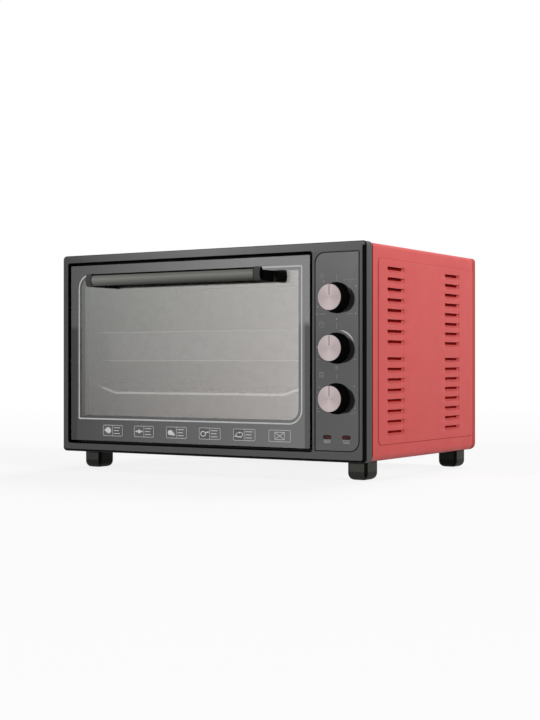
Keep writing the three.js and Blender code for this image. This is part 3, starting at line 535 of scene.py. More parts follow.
def rounded(low, high, radii, steps=CORNER_STEPS):
    """Outline of a rectangle with one radius, or four of them from the low corner on, anticlockwise."""
    if not isinstance(radii, list):
        radii = [radii] * 4
    corners = [(low[0], low[1], 1, 1), (high[0], low[1], -1, 1), (high[0], high[1], -1, -1),
               (low[0], high[1], 1, -1)]
    points = []
    for index, ((x, z, toward_x, toward_z), radius) in enumerate(zip(corners, radii)):
        for step in range(steps + 1):
            angle = math.pi + (index + step / steps) * QUARTER
            points.append((x + toward_x * radius + radius * math.cos(angle),
                           z + toward_z * radius + radius * math.sin(angle)))
    return points


def grown(low, high, margin):
    return (low[0] - margin, low[1] - margin), (high[0] + margin, high[1] + margin)


def centred(centre, width, height):
    """Low and high corners of a rectangle about its centre."""
    return ((centre[0] - width / 2, centre[1] - height / 2), (centre[0] + width / 2, centre[1] + height / 2))


def capsule(centre, width, height, margin=0):
    low, high = grown(*centred(centre, width, height), margin)
    return rounded(low, high, height / 2 + margin)


def ellipse(centre, radius, squash=1, turn=0, segments=MARK_SEGMENTS):
    outline = []
    for angle in turns(segments):
        spun = Vector((radius * math.cos(angle), radius * math.sin(angle) * squash))
        spun.rotate(Matrix.Rotation(turn, 2))
        outline.append((centre[0] + spun.x, centre[1] + spun.y))
    return outline


def mesh_from(name, shape):
    mesh = bpy.data.meshes.new(name)
    mesh.from_pydata([placed(point) for point in shape.points], [], shape.faces)
    mesh.polygons.foreach_set("material_index", shape.finishes)
    tidy = bmesh.new()
    tidy.from_mesh(mesh)
    bmesh.ops.remove_doubles(tidy, verts=tidy.verts, dist=MERGE_REACH * MM)
    bmesh.ops.recalc_face_normals(tidy, faces=tidy.faces)
    tidy.to_mesh(mesh)
    tidy.free()
    return mesh


def object_from(name, shape, *finishes):
    piece = bpy.data.objects.new(name, mesh_from(name, shape))
    bpy.context.scene.collection.objects.link(piece)
    for finish in finishes:
        piece.data.materials.append(MATERIALS[finish])
    return piece


def baked(piece):
    """Turns a piece's modifiers into its mesh."""
    graph = bpy.context.evaluated_depsgraph_get()
    mesh = bpy.data.meshes.new_from_object(piece.evaluated_get(graph))
    piece.modifiers.clear()
    piece.data = mesh
    return piece


def thick_sheet(name, shape, outward, *finishes):
    """An open sheet whose largest face is made to look outward, with its thickness behind it."""
    piece = object_from(name, shape, *finishes)
    largest = max(piece.data.polygons, key=lambda polygon: polygon.area)
    if largest.normal.dot(Vector(outward)) < 0:
        piece.data.flip_normals()
    sheet = piece.modifiers.new("sheet", "SOLIDIFY")
    sheet.thickness = SHEET * MM
    sheet.offset = -1
    return baked(piece)


def carved(piece, shapes):
    for index, shape in enumerate(shapes):
        cutter = object_from(f"cutter_{index}", shape)
        cut = piece.modifiers.new("cut", "BOOLEAN")
        cut.operation = "DIFFERENCE"
        cut.solver = "EXACT"
        cut.object = cutter
        baked(piece)
        bpy.data.objects.remove(cutter)
    return piece


def finished(piece, body, slot, *replaced):
    """Smooth shading, then the body that it rides on and the CAD nodes that it stands for."""
    piece.data.shade_smooth()
    piece.data.set_sharp_from_angle(angle=SMOOTH_ANGLE)
    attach(piece, body)
    if replaced:
        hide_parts(*replaced)
    return piece


# Materials
def linear(*channels):
    """Linear colour from 0 to 255 display values: one for a grey, or red, green and blue."""
    values = []
    for channel in channels * (3 // len(channels)):
        share = channel / 255
        values.append(share / 12.92 if share <= 0.04045 else ((share + 0.055) / 1.055) ** 2.4)
    return (*values, 1)


class Finish:
    """A material whose colour, roughness and relief come from noise in the part's own space."""

    def __init__(self, name, **sockets):
        self.name = name
        self.material = bpy.data.materials.new(name)
        self.material.use_nodes = True
        self.tree = self.material.node_tree
        self.shader = self.tree.nodes["Principled BSDF"]
        for label, value in sockets.items():
            self.shader.inputs[label.replace("_", " ")].default_value = value
        self.space = self.node("ShaderNodeTexCoord").outputs["Object"]
        self.relief = None

    def node(self, kind, inputs=None, **settings):
        """A node with its settings, whose inputs are set, or linked where a socket is given."""
        node = self.tree.nodes.new(kind)
        for label, value in settings.items():
            setattr(node, label, value)
        for socket, value in (inputs or {}).items():
            if isinstance(value, bpy.types.NodeSocket):
                self.tree.links.new(value, node.inputs[socket])
            else:
                node.inputs[socket].default_value = value
        return node

    def math(self, operation, *values):
        return self.node("ShaderNodeMath", dict(enumerate(values)), operation=operation).outputs["Value"]

    def vector(self, operation, first, second):
        inputs = {0: first, 1: second}
        return self.node("ShaderNodeVectorMath", inputs, operation=operation).outputs["Vector"]

    def noise(self, scale, detail=3, space=None):
        inputs = {"Vector": space or self.space, "Scale": scale, "Detail": detail}
        return self.node("ShaderNodeTexNoise", inputs).outputs["Fac"]

    def axis(self, name, space=None):
        return self.node("ShaderNodeSeparateXYZ", {0: space or self.space}).outputs[name]

    def painted_highlight_fans(self, count):
        """Painted highlight tone that swings round the middle of a piece's face, highest straight up."""
        generated = self.node("ShaderNodeTexCoord").outputs["Generated"]
        middle = self.vector("SUBTRACT", generated, (0.5, 0.5, 0.5))
        angle = self.math("ARCTAN2", self.axis("X", middle), self.axis("Z", middle))
        wave = self.math("COSINE", self.math("MULTIPLY", angle, count))
        return self.spread(wave, 0, 1, -1, 1)

    def spread(self, source, low, high, start=NOISE_LOW, end=NOISE_HIGH):
        """A value that runs from low to high while the source runs from its start to its end."""
        inputs = {"Value": source, "From Min": start, "From Max": end, "To Min": low, "To Max": high}
        return self.node("ShaderNodeMapRange", inputs).outputs["Result"]

    def blend(self, factor, first, second):
        inputs = {"Factor": factor, "A": first, "B": second}
        return self.node("ShaderNodeMix", inputs, data_type="RGBA").outputs["Result"]

    def across(self, low=-BODY_WIDTH / 2, high=BODY_WIDTH / 2):
        """0 at the left place and 1 at the right one, which are the cabinet's edges unless given."""
        return self.spread(self.axis("X"), 0, 1, low * MM, high * MM)

    def within(self, low, high, fade):
        """1 between two places across the front and 0 beyond them."""
        fall = self.spread(self.axis("X"), 1, 0, (high - fade) * MM, high * MM)
        return self.math("MULTIPLY", self.across(low, low + fade), fall)

    def upward(self, low, high):
        """0 up to the lower height and 1 from the higher one."""
        return self.spread(self.axis("Z"), 0, 1, UNDERSIDE_Z + low * MM, UNDERSIDE_Z + high * MM)

    def two_tones(self, left, right):
        """Colour that runs from one end of the front to the other."""
        return self.blend(self.across(), left, right)

    def four_tones(self, upward, low_left, low_right, high_left, high_right):
        return self.blend(upward, self.two_tones(low_left, low_right), self.two_tones(high_left, high_right))

    def coloured(self, source):
        self.tree.links.new(source, self.shader.inputs["Base Color"])
        return self

    def mottled(self, tone, other, scale, share=1):
        """The tone with slow patches that hold up to a share of another one."""
        return self.coloured(self.blend(self.spread(self.noise(scale), 0, share), tone, other))

    def rough(self, source):
        self.tree.links.new(source, self.shader.inputs["Roughness"])
        return self

    def raised(self, height, depth):
        inputs = {"Height": height, "Distance": depth * MM}
        if self.relief:
            inputs["Normal"] = self.relief
        self.relief = self.node("ShaderNodeBump", inputs).outputs["Normal"]
        self.tree.links.new(self.relief, self.shader.inputs["Normal"])
        return self

    def worn(self, scale, low, high):
        return self.rough(self.spread(self.noise(scale), low, high))

    def surfaced(self, kind, tone=None, other=None):
        """Roughness and grain of one of the surfaces, and its patches where tones are given."""
        wear, *grains = SURFACES[kind]
        if tone:
            self.mottled(tone, other, *PATCHES[kind])
        self.worn(*wear)
        for scale, depth, detail in grains:
            self.raised(self.noise(scale, detail), depth)
        return self

    def moulded(self, roughness, depth):
        """Roughness and grain of a plastic."""
        low, high = PLASTIC_ROUGH_SWING
        self.worn(PLASTIC_WEAR, roughness + low, roughness + high)
        return self.raised(self.noise(PLASTIC_GRAIN, PLASTIC_DETAIL), depth)


def plain(name, kind, light, dark, **sockets):
    """Two tones on one of the surfaces."""
    return Finish(name, **sockets).surfaced(kind, dark, light)


def plastic(name, light, dark, roughness, specular=0.5):
    finish = Finish(name, Specular_IOR_Level=specular)
    return finish.mottled(dark, light, PLASTIC_PATCHES).moulded(roughness, MOULD_DEPTH)


def graphite(name, tones, roughness, depth, painted_top_highlight=None, rise=GRAPHITE_RISE):
    """Satin plastic with painted light: a little paler towards the control panel, and a painted highlight in
    the middle of the top where one is given.
    """
    finish = Finish(name, Specular_IOR_Level=0.05)
    tone = finish.four_tones(finish.upward(*rise), *tones)
    if painted_top_highlight:
        span = finish.within(*TOP_LIGHT_SPAN, TOP_LIGHT_FADE)
        # Painted highlight along the middle of the top strip
        tone = finish.blend(finish.math("MULTIPLY", span, finish.upward(*TOP_LIGHT_RISE)), tone, painted_top_highlight)
    return finish.mottled(tone, linear(60), PLASTIC_PATCHES, GRAPHITE_PATCH_SHARE).moulded(roughness, depth)


def red_enamel(name, high, low, specular):
    """Enamel with painted shade: a little deeper towards the bottom."""
    finish = Finish(name, Specular_IOR_Level=specular)
    return finish.surfaced("enamel", finish.blend(finish.upward(0, BODY_HEIGHT), low, high), low)


def galvanised(name, light, dark, metallic):
    """Zinc coat with its crystals."""
    finish = Finish(name, Metallic=metallic)
    inputs = {"Vector": finish.space, "Scale": ZINC_CELLS}
    crystals = finish.node("ShaderNodeTexVoronoi", inputs).outputs["Color"]
    finish.coloured(finish.blend(finish.spread(crystals, 0, 1, *ZINC_SPAN), dark, light))
    finish.rough(finish.spread(crystals, *ZINC_ROUGH, 0, 1))
    scale, depth = ZINC_GRAIN
    return finish.raised(finish.noise(scale), depth)


def tray_enamel(name):
    """Dark enamel with fine pale specks."""
    finish = Finish(name, Specular_IOR_Level=0.5)
    specks = finish.spread(finish.noise(SPECK_SCALE, SPECK_DETAIL), 0, 1, *SPECK_SPAN)
    return finish.coloured(finish.blend(specks, linear(58, 58, 60), linear(150))).surfaced("pan")


def door_glass(name):
    """Half-mirrored pane: its painted reflection is brighter towards the control panel."""
    finish = Finish(name, Metallic=1, Alpha=0.36)
    painted_reflection = finish.four_tones(finish.upward(*WINDOW_SPAN), linear(142, 140, 138), linear(240, 234, 231),
                             linear(170, 174, 170), linear(254, 250, 246))
    return finish.surfaced("pane", painted_reflection, linear(120))


def door_print(name):
    """Enamel printed round the edge of the pane, with painted light and shade on it: darker below a step and
    most of all down both sides.
    """
    finish = Finish(name, Specular_IOR_Level=0.2)
    sides = finish.two_tones(linear(52), linear(87))
    foot = finish.two_tones(linear(64), linear(118))
    lower = finish.blend(finish.within(*PRINT_MIDDLE, PRINT_FADE), sides, foot)
    upper = finish.blend(finish.across(*PRINT_PALE_SPAN), linear(75), linear(130))
    return finish.surfaced("border", finish.blend(finish.upward(*PRINT_STEP), lower, upper), linear(40))


def handle_metal(name):
    """Satin tube with fine brushing along it, and a painted highlight along its middle that fades to painted
    shade at the top and bottom.
    """
    finish = Finish(name, Metallic=0.3, Specular_IOR_Level=0.3)
    streak = finish.noise(BRUSH_SCALE, BRUSH_DETAIL, finish.vector("MULTIPLY", finish.space, BRUSH_STRETCH))
    # Painted highlight about HANDLE_LIGHT_Z, with painted shade above and below it
    rise = finish.upward(HANDLE_LIGHT_Z - HANDLE_RADIUS, HANDLE_LIGHT_Z)
    fall = finish.upward(HANDLE_LIGHT_Z, HANDLE_Z + HANDLE_RADIUS)
    tone = finish.blend(rise, linear(34, 34, 32), linear(119, 120, 114))
    tone = finish.blend(fall, tone, linear(40, 40, 38))
    finish.coloured(finish.blend(finish.spread(streak, 0, BRUSH_SHARE), tone, linear(60, 60, 57)))
    return finish.rough(finish.spread(streak, *BRUSH_ROUGH)).raised(streak, BRUSH_DEPTH)


def knob_silver(name):
    """Cap turned on a lathe: fine rings, a tint of rose, and two painted highlights that fan from the middle.
    """
    finish = Finish(name, Metallic=0.7, Anisotropic=0.7)
    tangent = finish.node("ShaderNodeTangent", direction_type="RADIAL", axis="Y").outputs["Tangent"]
    finish.tree.links.new(tangent, finish.shader.inputs["Tangent"])
    scale, share = PATCHES["turned"]
    patches = finish.spread(finish.noise(scale), 0, share)
    fine = finish.blend(patches, linear(175, 161, 162), linear(180, 166, 167))
    return finish.coloured(finish.blend(finish.painted_highlight_fans(2), fine, linear(196, 182, 182))).surfaced("turned")


# Painted light and shade: low left, low right, high left and high right tones of the front, the panel and the
# feet
FRONT_TONES = [linear(69), linear(81), linear(70), linear(90)]
PANEL_TONES = [linear(66), linear(91), linear(76), linear(109)]
FOOT_TONES = [linear(32, 31, 29), linear(42, 42, 39), linear(50, 51, 49), linear(60, 60, 56)]
INK_SPECULAR = 0.3
INK_TONES = {
    "white_print": [linear(196), linear(180)],
    "line_print": [linear(182), linear(170)],
    "faint_print": [linear(150), linear(136)],
    "field_print": [linear(84), linear(76)],
    "dim_print": [linear(126), linear(114)],
    "pointer_ink": [linear(60, 50, 50), linear(44, 36, 36)],
}

MATERIALS = {finish.name: finish.material for finish in [
    graphite("graphite_plastic", FRONT_TONES, 0.42, 0.05, painted_top_highlight=linear(112)),
    # Black edges of the pane, and painted shade on the frame's edges, in its opening and on the feet's
    # rounded corners
    plastic("black_edge_and_painted_shade", linear(7), linear(5), 0.5, 0.04),
    graphite("panel_plastic", PANEL_TONES, 0.36, 0.03),
    plastic("groove_shade", linear(42), linear(36), 0.5, 0.04),
    plastic("black_plastic", linear(6), linear(4), 0.6, 0.01),
    plastic("collar_plastic", linear(62), linear(54), 0.45, 0.1),
    plastic("vent_shade", linear(124, 9, 9), linear(112, 7, 7), 0.6, 0.02),
    graphite("foot_plastic", FOOT_TONES, 0.55, 0.08, rise=FOOT_RISE),
    plastic("switch_plastic", linear(212, 206, 192), linear(196, 190, 176), 0.5),
    galvanised("galvanised_steel", linear(186, 187, 184), linear(170, 171, 168), 0.75),
    galvanised("plated_steel", linear(200, 200, 196), linear(176, 176, 172), 0.9),
    *[plain(name, "ink", *tones, Specular_IOR_Level=INK_SPECULAR) for name, tones in INK_TONES.items()],
    red_enamel("red_enamel", linear(215, 98, 96), linear(194, 84, 82), 0.12),
    # Painted shade: a deeper red for the raised field's ramps, the louvres' rear ends and the rear strip
    red_enamel("painted_shade_red", linear(192, 88, 84), linear(176, 76, 74), 0),
    plain("dark_steel", "steel", linear(30, 31, 29), linear(20, 21, 19), Metallic=0.3,
          Specular_IOR_Level=0.3),
    plain("heater_sheath", "sheath", linear(104, 100, 95), linear(70, 65, 60), Metallic=0.7),
    plain("chrome_wire", "wire", linear(255, 255, 252), linear(248, 248, 244), Metallic=0.1),
    # Painted shade: a darker copy of the wire for the cross wires
    plain("cross_wire_painted_shade", "wire", linear(172), linear(156), Metallic=0.35),
    tray_enamel("tray_enamel"),
    # Painted highlight for the tray's edges
    plastic("bright_edge", linear(190), linear(172), 0.35, 0.3),
    door_glass("door_glass"),
    door_print("door_print"),
    handle_metal("handle_metal"),
    knob_silver("knob_silver"),
    plain("red_lens", "lens", linear(70, 18, 20), linear(22, 10, 10), Specular_IOR_Level=0.2),
]}


def dress_frame_nodes():
    """CAD nodes that keep their shape take their slot's material."""
    for node in frame["nodes"].values():
        for slot in node.material_slots:
            name = slot.material.name.split(".")[0]
            if name in MATERIALS:
                slot.material = MATERIALS[name]


# Front frame and control panel
def opening_outline(margin):
    return rounded(*grown(OPENING_LOW, OPENING_HIGH, margin), OPENING_CORNER + margin)


def frame_outline(inset):
    low, high = grown((-BODY_WIDTH / 2, 0), (BODY_WIDTH / 2, BODY_HEIGHT), -inset)
    return rounded(low, high, FRAME_CORNER - inset)


def panel_outline(margin):
    sharp = PANEL_SHARP + max(margin, 0)
    soft = PANEL_CORNER + margin
    return rounded(*grown(PANEL_LOW, PANEL_HIGH, margin), [sharp, soft, sharp, soft])


def lamp_centres():
    return [(KNOB_X + side * LAMP_SPACING / 2, LAMP_Z) for side in (-1, 1)]


def panel_holes(back):
    """Cutters for the necks of the knobs and for the lenses, as far back as the place given."""
    necks = [ellipse((KNOB_X, z), NECK_HOLE, segments=ROUND_SEGMENTS) for z in KNOB_HEIGHTS]
    lamps = [capsule(centre, LAMP_WIDTH, LAMP_HEIGHT, GAP) for centre in lamp_centres()]
    return [Shape().prism(outline, -OVERRUN, back) for outline in necks + lamps]


def edge_finish(row, corner):
    """Painted shade: dark in the opening, behind, at the right and bottom edges, and on the rear part of the
    others.
    """
    side = corner // (CORNER_STEPS + 1)
    if row > EDGE_STEPS + 2:
        return 1
    if row == EDGE_STEPS + 1:
        return 1 if side == 1 else 0
    if not 1 <= row <= EDGE_STEPS:
        return 0
    return 1 if side in (0, 1) or row <= EDGE_DARK_STEPS else 0


def front_frame():
    """Face and rounded edge, then the lip and rim of the opening, then the inside of the outer wall."""
    edge = [(0, FRAME_DEPTH), *quarter_round(FRAME_EDGE), (FRAME_EDGE + FACE_BAND, 0)]
    lip = [(margin, y) for y, margin in quarter_round(OPENING_LIP, OPENING_LIP_STEPS)]
    rim = [(0, FRAME_DEPTH), (RIM, FRAME_DEPTH), (RIM, FRAME_PLATE)]
    wall = [(FRAME_WALL, FRAME_PLATE), (FRAME_WALL, FRAME_DEPTH)]
    loops = stacked(frame_outline, edge) + stacked(opening_outline, lip + rim) + stacked(frame_outline, wall)
    shape = Shape().loft(loops, ring=True, pick=edge_finish)
    piece = object_from("front_frame_shell", shape, "graphite_plastic", "black_edge_and_painted_shade", "groove_shade")
    recess = Shape().prism(panel_outline(PANEL_GROOVE), -OVERRUN, PANEL_THICKNESS + GAP)
    left = OPENING_LOW[0] - RIM - GAP
    right = OPENING_HIGH[0] + RIM + GAP
    hinge = Shape().lathe("x", (0, HINGE_Y, HINGE_Z), [(HINGE_HOLE, left), (HINGE_HOLE, right)])
    carved(piece, [recess.all_in(2), hinge.all_in(1), *panel_holes(FRAME_PLATE + OVERRUN)])
    finished(piece, "housing", "graphite_plastic", "front_frame")


def control_panel():
    loops = stacked(panel_outline, [(-PANEL_BEVEL, 0), (0, PANEL_BEVEL), (0, PANEL_THICKNESS)])
    piece = object_from("control_panel_plate", Shape().loft(loops), "panel_plastic")
    carved(piece, panel_holes(PANEL_THICKNESS + OVERRUN))
    finished(piece, "housing", "panel_plastic", "control_panel")


# Printing
def aimed(centre, radius, angle):
    """The place at a radius from a centre; the angle runs clockwise from the top."""
    return (centre[0] + radius * math.sin(angle), centre[1] + radius * math.cos(angle))


class Marks:
    """Flat marks, each a hair's breadth in front of what carries it and of the mark before."""

    def __init__(self, face):
        self.shape = Shape()
        self.front = face - PRINT_THICKNESS
        self.back = face
        self.origin = (0, 0)

    def lay(self, draw, *outlines):
        moved = [[(self.origin[0] + x, self.origin[1] + z) for x, z in outline] for outline in outlines]
        draw(*moved, self.front, self.back)
        self.front -= PRINT_LAYER

    def polygon(self, *points):
        self.lay(self.shape.prism, points)

    def bar(self, start, end, width):
        start, end = Vector(start), Vector(end)
        along = (end - start).normalized()
        side = Vector((-along.y, along.x)) * width / 2
        self.polygon(start - side, end - side, end + side, start + side)

    def dash(self, centre, length, width):
        x, z = centre
        self.bar((x - length / 2, z), (x + length / 2, z), width)

    def disc(self, centre, radius, squash=1, turn=0):
        self.polygon(*ellipse(centre, radius, squash, turn))

    def ring(self, centre, radius, width, squash=1, turn=0):
        inner = ellipse(centre, radius - width, squash, turn)
        self.lay(self.shape.band, ellipse(centre, radius, squash, turn), inner)

    def frame(self, low, high, corner, width):
        inner = rounded(*grown(low, high, -width), max(corner - width, width * MARK_CORNER_SHARE))
        self.lay(self.shape.band, rounded(low, high, corner), inner)

    def crescent(self, centre, radii, thickness, span):
        """Sickle along an arc whose radius changes from one end of its span of angles to the other."""
        inner = []
        outer = []
        for step in range(CRESCENT_STEPS + 1):
            share = step / CRESCENT_STEPS
            angle = span[0] + (span[1] - span[0]) * share
            radius = radii[0] + (radii[1] - radii[0]) * share
            half = thickness * math.sin(math.pi * share) / 2
            inner.append(aimed(centre, radius - half, angle))
            outer.append(aimed(centre, radius + half, angle))
        self.polygon(*outer, *inner[-2:0:-1])

    def piece(self, name, body, slot, finish):
        finished(object_from(name, self.shape, finish), body, slot)


def panel_marks():
    marks = Marks(0)
    for low, high in TICKS:
        marks.bar((KNOB_X, low), (KNOB_X, high), TICK_WIDTH)
    for x, z, length in DASHES:
        marks.dash((x, z), length, DASH_WIDTH)
    for height in STACK_HEIGHTS:
        marks.ring((STACK_X, height), STACK_RADIUS, PICTURE_LINE)
    for start, end in zip(SCALE_LINE, SCALE_LINE[1:]):
        marks.bar(start, end, PICTURE_LINE)
    marks.piece("panel_marks", "housing", "panel_plastic", "dim_print")
    labels = Marks(0)
    for place in DOTS:
        labels.disc(place, DOT_RADIUS)
    for centre, _ in lamp_centres():
        for left, right, drop in LABEL_BARS:
            labels.bar((centre + left, LABEL_TOP - drop), (centre + right, LABEL_TOP - drop), LABEL_WIDTH)
    labels.piece("dots_and_labels", "housing", "panel_plastic", "faint_print")
    sickle = Marks(0)
    sickle.crescent((KNOB_X, KNOB_HEIGHTS[1]), CRESCENT_RADII, CRESCENT_THICKNESS, CRESCENT_SPAN)
    sickle.piece("timer_sickle", "housing", "panel_plastic", "line_print")


def panel_pictures():
    """Plain signs for heat, time and function."""
    marks = Marks(0)
    radius = PICTURE_RADIUS
    sun, clock, grill = [(PICTURE_X, height) for height in PICTURE_HEIGHTS]
    marks.ring(sun, radius * SUN_DISC_SHARE, PICTURE_LINE)
    for angle in turns(SUN_RAYS):
        marks.bar(aimed(sun, radius * SUN_RAY_SHARE, angle), aimed(sun, radius, angle), PICTURE_LINE)
    marks.ring(clock, radius, PICTURE_LINE)
    for across, up in CLOCK_HAND_SHARES:
        marks.bar(clock, (clock[0] + radius * across, clock[1] + radius * up), PICTURE_LINE)
    size = 2 * radius * GRILL_BOX_SHARE
    marks.frame(*centred(grill, size, size), PICTURE_LINE, PICTURE_LINE)
    for share in GRILL_ROW_SHARES:
        marks.dash((grill[0], grill[1] + radius * share), 2 * radius * GRILL_BAR_SHARE, PICTURE_LINE)
    marks.piece("panel_pictures", "housing", "panel_plastic", "dim_print")


# Knobs and lenses
def rib_radius(radius, angle, depth):
    return radius - depth * max(0, math.cos(angle * KNOB_RIBS)) ** KNOB_RIB_POWER


def knob_body(name, height):
    """Ribbed skirt under a plain drum; the profile is given as [radius, place along the axis, rib depth]."""
    front = -KNOB_GAP
    profile = [
        (KNOB_BORE, front - KNOB_BORE_DEPTH, 0),
        (KNOB_BORE, front, 0),
        (KNOB_SKIRT - KNOB_CAP_CHAMFER, front, 0),
        (KNOB_SKIRT, front - KNOB_CAP_CHAMFER, KNOB_RIB_DEPTH),
        (KNOB_SKIRT, front - KNOB_SKIRT_THICKNESS + KNOB_CAP_CHAMFER, KNOB_RIB_DEPTH),
        (KNOB_SKIRT - KNOB_CAP_CHAMFER, front - KNOB_SKIRT_THICKNESS, KNOB_RIB_DEPTH),
        (KNOB_WAIST, front - KNOB_WAIST_HEIGHT, 0),
        (KNOB_CAP, front - KNOB_HEIGHT, 0),
        (0, front - KNOB_HEIGHT, 0),
        (0, front - KNOB_BORE_DEPTH, 0),
    ]
    loops = []
    for radius, along, depth in profile:
        loops.append([round_point("y", (KNOB_X, 0, height), rib_radius(radius, angle, depth), along, angle)
                      for angle in turns(KNOB_SEGMENTS)])
    piece = object_from(f"{name}_knob_body", Shape().loft(loops, ring=True), "black_plastic")
    finished(piece, f"{name}_dial", "black_plastic", f"{name}_knob")


def pointer_outline(low, high):
    """Round at its lower end and square at its upper one."""
    half = POINTER_WIDTH / 2
    soft = half - SLIVER
    return rounded((KNOB_X - half, low), (KNOB_X + half, high), [soft, soft, SLIVER, SLIVER])


def knob_cap(name, height):
    """Turned cap with the pointer line let into its face."""
    seat = -KNOB_GAP - KNOB_HEIGHT - GAP
    face = seat - KNOB_CAP_THICKNESS
    profile = [(0, seat), (KNOB_CAP, seat), (KNOB_CAP, face + KNOB_CAP_CHAMFER),
               (KNOB_CAP - KNOB_CAP_CHAMFER, face), (0, face)]
    shape = Shape().lathe("y", (KNOB_X, 0, height), profile, KNOB_CAP_SEGMENTS)
    piece = object_from(f"{name}_cap_disc", shape, "knob_silver")
    rim = height + KNOB_CAP
    groove = pointer_outline(rim - POINTER_LENGTH, rim + OVERRUN)
    carved(piece, [Shape().prism(groove, face - OVERRUN, face + POINTER_DEPTH)])
    finished(piece, f"{name}_dial", "knob_silver", f"{name}_knob_cap")
    inlay = pointer_outline(rim - POINTER_LENGTH, rim - KNOB_CAP_CHAMFER)
    line = Shape().prism(inlay, face + POINTER_DEPTH / 2, face + POINTER_DEPTH)
    finished(object_from(f"{name}_pointer", line, "pointer_ink"), f"{name}_dial", "black_plastic")


def lamp_lens(centre, node):
    """Lens whose front edge is bevelled in two steps."""
    step = LAMP_BEVEL * LAMP_CROWN_SHARE
    section = [(-LAMP_BEVEL, -LAMP_PROUD), (-step, step - LAMP_PROUD), (0, LAMP_BEVEL - LAMP_PROUD),
               (0, LAMP_DEPTH)]
    loops = stacked(lambda margin: capsule(centre, LAMP_WIDTH, LAMP_HEIGHT, margin), section)
    finished(object_from(f"{node}_window", Shape().loft(loops), "red_lens"), "housing", "red_lens", node)


# Door
def line_outline(margin):
    soft = LINE_CORNER + margin
    sharp = max(LINE_SHARP + margin, LINE_SHARP / 2)
    return rounded(*grown(LINE_LOW, LINE_HIGH, margin), [sharp, soft, sharp, soft])


def glass_outline(inset):
    return rounded(*grown(GLASS_LOW, GLASS_HIGH, -inset), max(GLASS_CORNER - inset, GLASS_BEVEL))


def door_pane():
    """Pane with dark edges."""
    section = [(GLASS_BEVEL, GLASS_FRONT), (0, GLASS_FRONT + GLASS_BEVEL), (0, GLASS_BACK - GLASS_BEVEL),
               (GLASS_BEVEL, GLASS_BACK)]
    shape = Shape().loft(stacked(glass_outline, section), pick=lambda row, corner: 1)
    piece = object_from("door_pane", shape, "door_glass", "black_edge_and_painted_shade")
    finished(piece, "door", "door_glass", "door_glass")


def door_printing():
    """The border on the pane, and the line on the border."""
    face = GLASS_FRONT - PRINT_THICKNESS
    border = Shape().band(glass_outline(PRINT_INSET), line_outline(-WINDOW_INSET), face, GLASS_FRONT)
    finished(object_from("door_border", border, "door_print"), "door", "door_glass")
    line = Shape().band(line_outline(LINE_WIDTH / 2), line_outline(-LINE_WIDTH / 2),
                        face - PRINT_THICKNESS, face)
    finished(object_from("door_line", line, "line_print"), "door", "door_glass")


def crossed_box(marks):
    width, height = CROSSED_BOX
    marks.frame(*centred((0, 0), width, height), CROSSED_CORNER, ICON_LINE)
    reach_x = width / 2 - ICON_LINE
    reach_z = height / 2 - ICON_LINE
    for tilt in (-1, 1):
        marks.bar((-reach_x, -tilt * reach_z), (reach_x, tilt * reach_z), ICON_LINE)


def door_icons():
    """Framed signs: a filled field with a picture, and lines beside it; a crossed box in the last one."""
    face = GLASS_FRONT - PRINT_THICKNESS
    fields = Marks(face)
    lines = Marks(face - PRINT_THICKNESS)
    signs = Marks(face - PRINT_THICKNESS)
    height = (ICON_LOW + ICON_HIGH) / 2
    for left, right in ICON_SPANS:
        lines.frame((left, ICON_LOW), (right, ICON_HIGH), ICON_CORNER, ICON_LINE)
    for (left, right), sign in zip(ICON_SPANS, FOOD_SIGNS):
        middle = (left + right) / 2
        fields.polygon(*rounded((left, ICON_LOW), (middle, ICON_HIGH), ICON_CORNER))
        lines.bar((middle, ICON_LOW + ICON_LINE), (middle, ICON_HIGH - ICON_LINE), ICON_LINE)
        start = middle + ICON_TEXT_START
        for row, share in enumerate(ICON_TEXT_SHARES):
            z = ICON_HIGH - ICON_TEXT_DROP - row * ICON_TEXT_STEP
            end = start + (right - middle - ICON_TEXT_MARGIN) * share
            lines.bar((start, z), (end, z), ICON_TEXT_WIDTH)
        signs.origin = ((left + middle) / 2, height)
        kinds = {"disc": signs.disc, "ring": signs.ring, "bar": signs.bar, "polygon": signs.polygon}
        for kind, *values in sign:
            kinds[kind](*values)
    left, right = ICON_SPANS[-1]
    signs.origin = ((left + right) / 2, height)
    crossed_box(signs)
    fields.piece("door_icon_fields", "door", "door_glass", "field_print")
    lines.piece("door_icon_lines", "door", "door_glass", "line_print")
    signs.piece("door_icon_signs", "door", "door_glass", "white_print")


# Handle
def tube_finish(row, corner):
    """Satin metal, with dark ends and painted shade as a dark line along the top."""
    rise = TUBE_RADIUS * math.sin((corner + 0.5) * 2 * math.pi / HANDLE_SEGMENTS)
    return 0 if row == TUBE_ROW and rise < TUBE_RADIUS - TUBE_TOP_LINE else 1


def collar_finish(row, corner):
    """Paler on the rounded outer end."""
    return 1 if COLLAR_ROW <= row < COLLAR_ROW + EDGE_STEPS else 0


